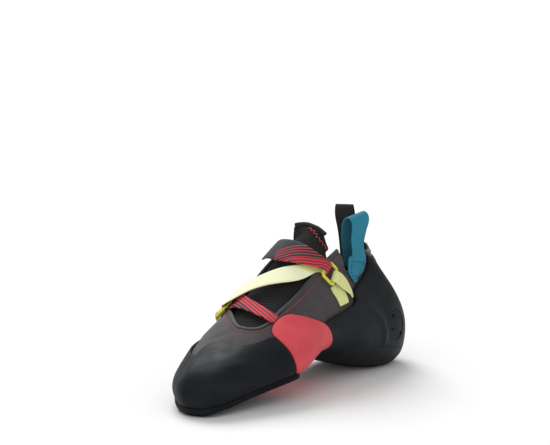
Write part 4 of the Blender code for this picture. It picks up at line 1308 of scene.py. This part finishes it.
STRAP_UPPER = [((7.08, 3.36), (7.84, 3.44), .0050), ((6.78, 3.70), (7.84, 3.74), .0047),
               ((6.72, 4.00), (7.96, 4.02), .0044), ((6.80, 4.26), (8.16, 4.28), .0044),
               ((7.02, 4.50), (8.36, 4.50), .0048), ((7.28, 4.74), (8.26, 4.74), .0048)]
UPPER_LEG = [((7.82, 2.79), (8.36, 2.94), .0042), ((8.00, 2.725), (8.50, 2.85), .0036),
             ((8.20, 2.66), (8.53, 2.74), .0030), ((8.36, 2.605), (8.52, 2.64), .0022),
             ((8.42, 2.565), (8.46, 2.575), .0016)]
LOWER_LEG = [((7.50, 2.80), (8.12, 2.84), ANCHOR_REST), ((7.50, 2.68), (8.18, 2.70), ANCHOR_REST),
             ((7.54, 2.57), (8.14, 2.57), ANCHOR_REST), ((7.53, 2.46), (8.06, 2.50), ANCHOR_REST)]
LATERAL_UNDER = [((5.26, 5.62), (5.68, 5.62), ANCHOR_REST),
                 ((5.18, 5.50), (5.68, 5.50), ANCHOR_REST + GAP)]
LATERAL_OVER = [((5.16, 5.48), (5.68, 5.48), .0040), ((5.22, 5.60), (5.66, 5.60), .0028)]


def laid(table):
    """Rows of points over the upper from a table of places and heights."""
    return [across(low, high, height) for low, high, height in table]


def make_strap():
    """One strap: up from the arch wrap, round the lateral ring, back over the instep,
    round the medial ring and over again to its end on the lateral side."""
    rows = laid(STRAP_LOWER) + fold(*LATERAL_BAR, BAR_HEIGHT, TURN_RADIUS, 1)
    rows += laid(STRAP_MIDDLE) + fold(*MEDIAL_BAR, BAR_HEIGHT, TURN_RADIUS, -1)
    piece, _, _ = ribbon("zigzag_strap", rows + laid(STRAP_UPPER), STRAP,
                         [STRAP_BACK, STRAP_FACE])
    settle(piece, "strap")


def make_ring(name, node, bar, anchor):
    """Wire ring with rounded corners; one long side holds the strap and one the webbing."""
    points = []
    for low, high in (bar, anchor[::-1]):
        ends = across(low, high, BAR_HEIGHT, 2)
        axis = unit(ends[1] - ends[0])
        points += [ends[0] - axis * RING_MARGIN, ends[1] + axis * RING_MARGIN]
    path = []
    for i, point in enumerate(points):
        start = point + unit(points[i - 1] - point) * RING_CORNER
        end = point + unit(points[(i + 1) % 4] - point) * RING_CORNER
        for t in np.linspace(0, 1, 7):
            path.append((1 - t) ** 2 * start + 2 * t * (1 - t) * point + t * t * end)
    out = unit(np.cross(points[1] - points[0], points[2] - points[1]))
    piece = sweep(name, path, np.broadcast_to(out, (len(path), 3)),
                  oval_profile(2 * WIRE, 2 * WIRE, 16), RING_PLASTIC, closed=True)
    settle(piece, node)


def make_anchors():
    """Webbing that ties the rings down: two legs on the medial side, one on the lateral."""
    upper_leg = fold(*MEDIAL_ANCHOR, BAR_HEIGHT, ANCHOR_RADIUS, 1) + laid(UPPER_LEG)
    turn = fold(*LATERAL_ANCHOR, BAR_HEIGHT, ANCHOR_RADIUS, -1)
    for node, rows in (("anchor_upper_leg", upper_leg), ("anchor_lower_leg", laid(LOWER_LEG)),
                       ("anchor_lateral", laid(LATERAL_UNDER) + turn + laid(LATERAL_OVER))):
        piece, _, _ = ribbon("web_" + node, rows, WEBBING, [YELLOW_WEB])
        settle(piece, node)


# Pull loops: ends of rows on the upper, then middles of free rows as shares of LENGTH,
# HEEL_WIDTH and INSTEP_HEIGHT, with their share of LOOP_WIDTH
LOOP_HEIGHT = .0014
MEDIAL_FOOT = [((9.20, 2.76), (9.36, 2.75)), ((9.22, 2.82), (9.66, 2.79)),
               ((9.26, 2.89), (10.08, 2.79)), ((9.64, 2.97), (10.78, 2.79)),
               ((10.25, 3.04), (11.48, 2.735))]
MEDIAL_ROWS = [(.290, .372, .877, .72), (.284, .354, .956, .74), (.273, .345, 1.040, .9),
               (.268, .347, 1.103, 1), (.268, .326, 1.143, 1), (.268, .280, 1.156, 1),
               (.268, .232, 1.129, 1), (.268, .209, 1.051, 1), (.270, .217, .945, .95),
               (.272, .236, .840, .85), (.274, .260, .775, .75)]
MEDIAL_AXIS = (.93, -.28, -.24)
LATERAL_FOOT = [((12.25, -.82), (11.78, -1.42)), ((12.45, -.85), (12.0, -1.48))]
LATERAL_ROWS = [(.089, -.215, .777, .8), (.089, -.241, .903, .8), (.092, -.262, 1.019, .82),
                (.099, -.274, 1.114, .84), (.113, -.258, 1.161, .84), (.127, -.233, 1.114, .84),
                (.128, -.205, 1.008, .82), (.123, -.188, .882, .8), (.120, -.177, .756, .8),
                (.118, -.168, .672, .8)]
LATERAL_AXIS = (-.46, .89, 0)


def make_loop(name, node, foot, rows, axis, finishes):
    """Pull loop of folded webbing, sewn outside and inside the collar."""
    axis = unit(np.array(axis))
    share = np.linspace(-.5, .5, 3)[:, None]
    stations = [across(low, high, LOOP_HEIGHT) for low, high in foot]
    for ahead, outward, up, width in rows:
        centre = np.array([(ahead - REST_X) * LENGTH, outward * HEEL_WIDTH,
                           STACK + up * INSTEP_HEIGHT])
        stations.append(centre - share * axis * LOOP_WIDTH * width)
    piece, grid, out = ribbon(name, stations, LOOP, finishes)
    settle(piece, node)
    return grid, out


# Stitched box on the medial loop's foot, as (metres from its end, share of its width)
LOOP_BOX = [(.0040, .14), (.0040, .84), (.0155, .84), (.0155, .14), (.0040, .14)]
LOOP_CROSS = [(.0030, .84), (.0006, .30)]
LOOP_SIDE_POINTS = 24
LOOP_STITCH = .0010


def make_loop_stitches(grid, out):
    """Dark stitches through the outer face of the medial loop's foot."""
    run = distances(grid[:, grid.shape[1] // 2])
    outward = np.sign(out[2, grid.shape[1] // 2, 1])
    threads = []
    for corners in (LOOP_BOX, LOOP_CROSS):
        line = []
        away = []
        for low, high in zip(np.array(corners[:-1]), np.array(corners[1:])):
            for t in np.linspace(0, 1, LOOP_SIDE_POINTS, endpoint=False):
                distance, share = low + (high - low) * t
                row = int(np.searchsorted(run, distance))
                column = share * (grid.shape[1] - 1)
                away.append(outward * out[row, int(column)])
                line.append(read_grid(grid, row, column) + away[-1] * LOOP / 2)
        line, away = even(np.array(line), np.array(away), LOOP_STITCH)
        threads += list(zip(line[:-1:2], line[1::2], away[:-1:2]))
    extra(stitches("loop_stitches", *zip(*threads), THREAD, DARK_THREAD), "loop_medial")


FLOOR_REACH = 40.0


def make_floor():
    corners = [(x * FLOOR_REACH, y * FLOOR_REACH, 0)
               for x, y in ((-1, -1), (1, -1), (1, 1), (-1, 1))]
    floor = make_mesh("floor", corners, [[0, 1, 2, 3]], [paper()])


# Camera, as azimuth from +X towards +Y and elevation in degrees, and metres
VIEW_AZIMUTH = 38.0578
VIEW_ELEVATION = 8.2056
VIEW_DISTANCE = 1.2
VIEW_TARGET = (.08102, -.00877, .11259)
VIEW_LENS = 113.2465


def make_camera():
    azimuth = math.radians(VIEW_AZIMUTH)
    elevation = math.radians(VIEW_ELEVATION)
    back = Vector((math.cos(elevation) * math.cos(azimuth),
                   math.cos(elevation) * math.sin(azimuth), math.sin(elevation)))
    data = bpy.data.cameras.new("camera")
    data.lens = VIEW_LENS
    data.sensor_width = 36.0
    data.clip_end = 200.0
    camera = bpy.data.objects.new("camera", data)
    camera.location = Vector(VIEW_TARGET) + back * VIEW_DISTANCE
    camera.rotation_euler = back.to_track_quat("Z", "Y").to_euler()
    bpy.context.scene.collection.objects.link(camera)
    bpy.context.scene.camera = camera


# Soft daylight from all round, and two suns as (direction they come from, power, spread)
STUDIO_LIGHT = .55
SUNS = {"key": ((-.35, -.55, .76), 2.1, 38), "fill": ((.75, .25, .60), .5, 60)}


def make_lights():
    scene = bpy.context.scene
    scene.world = bpy.data.worlds.new("studio")
    scene.world.use_nodes = True
    sky = scene.world.node_tree.nodes["Background"].inputs
    sky["Color"].default_value = (1, 1, 1, 1)
    sky["Strength"].default_value = STUDIO_LIGHT
    for name, (toward, power, spread) in SUNS.items():
        data = bpy.data.lights.new(name, "SUN")
        data.energy = power
        data.angle = math.radians(spread)
        light = bpy.data.objects.new(name, data)
        light.rotation_euler = Vector(toward).to_track_quat("Z", "Y").to_euler()
        scene.collection.objects.link(light)
    scene.view_settings.view_transform = "Standard"


make_camera()
make_lights()
make_floor()
make_upper()
make_throat_trim()
make_collar_stitches()
make_insole()
make_outsole()
make_toe_rand()
make_arch_wrap()
make_heel_cup()
make_zigzag(make_tongue())
make_binding()
make_strap()
make_ring("lateral_wire", "lateral_ring", LATERAL_BAR, LATERAL_ANCHOR)
make_ring("medial_wire", "medial_ring", MEDIAL_BAR, MEDIAL_ANCHOR)
make_anchors()
# The loop's inner face takes the teal painted darker as shade.
make_loop_stitches(*make_loop("teal_loop", "loop_medial", MEDIAL_FOOT, MEDIAL_ROWS, MEDIAL_AXIS,
                              [TEAL_SHADED_INNER, TEAL_WEB]))
make_loop("black_loop", "loop_lateral", LATERAL_FOOT, LATERAL_ROWS, LATERAL_AXIS, [BLACK_WEB])

bpy.context.view_layer.update()
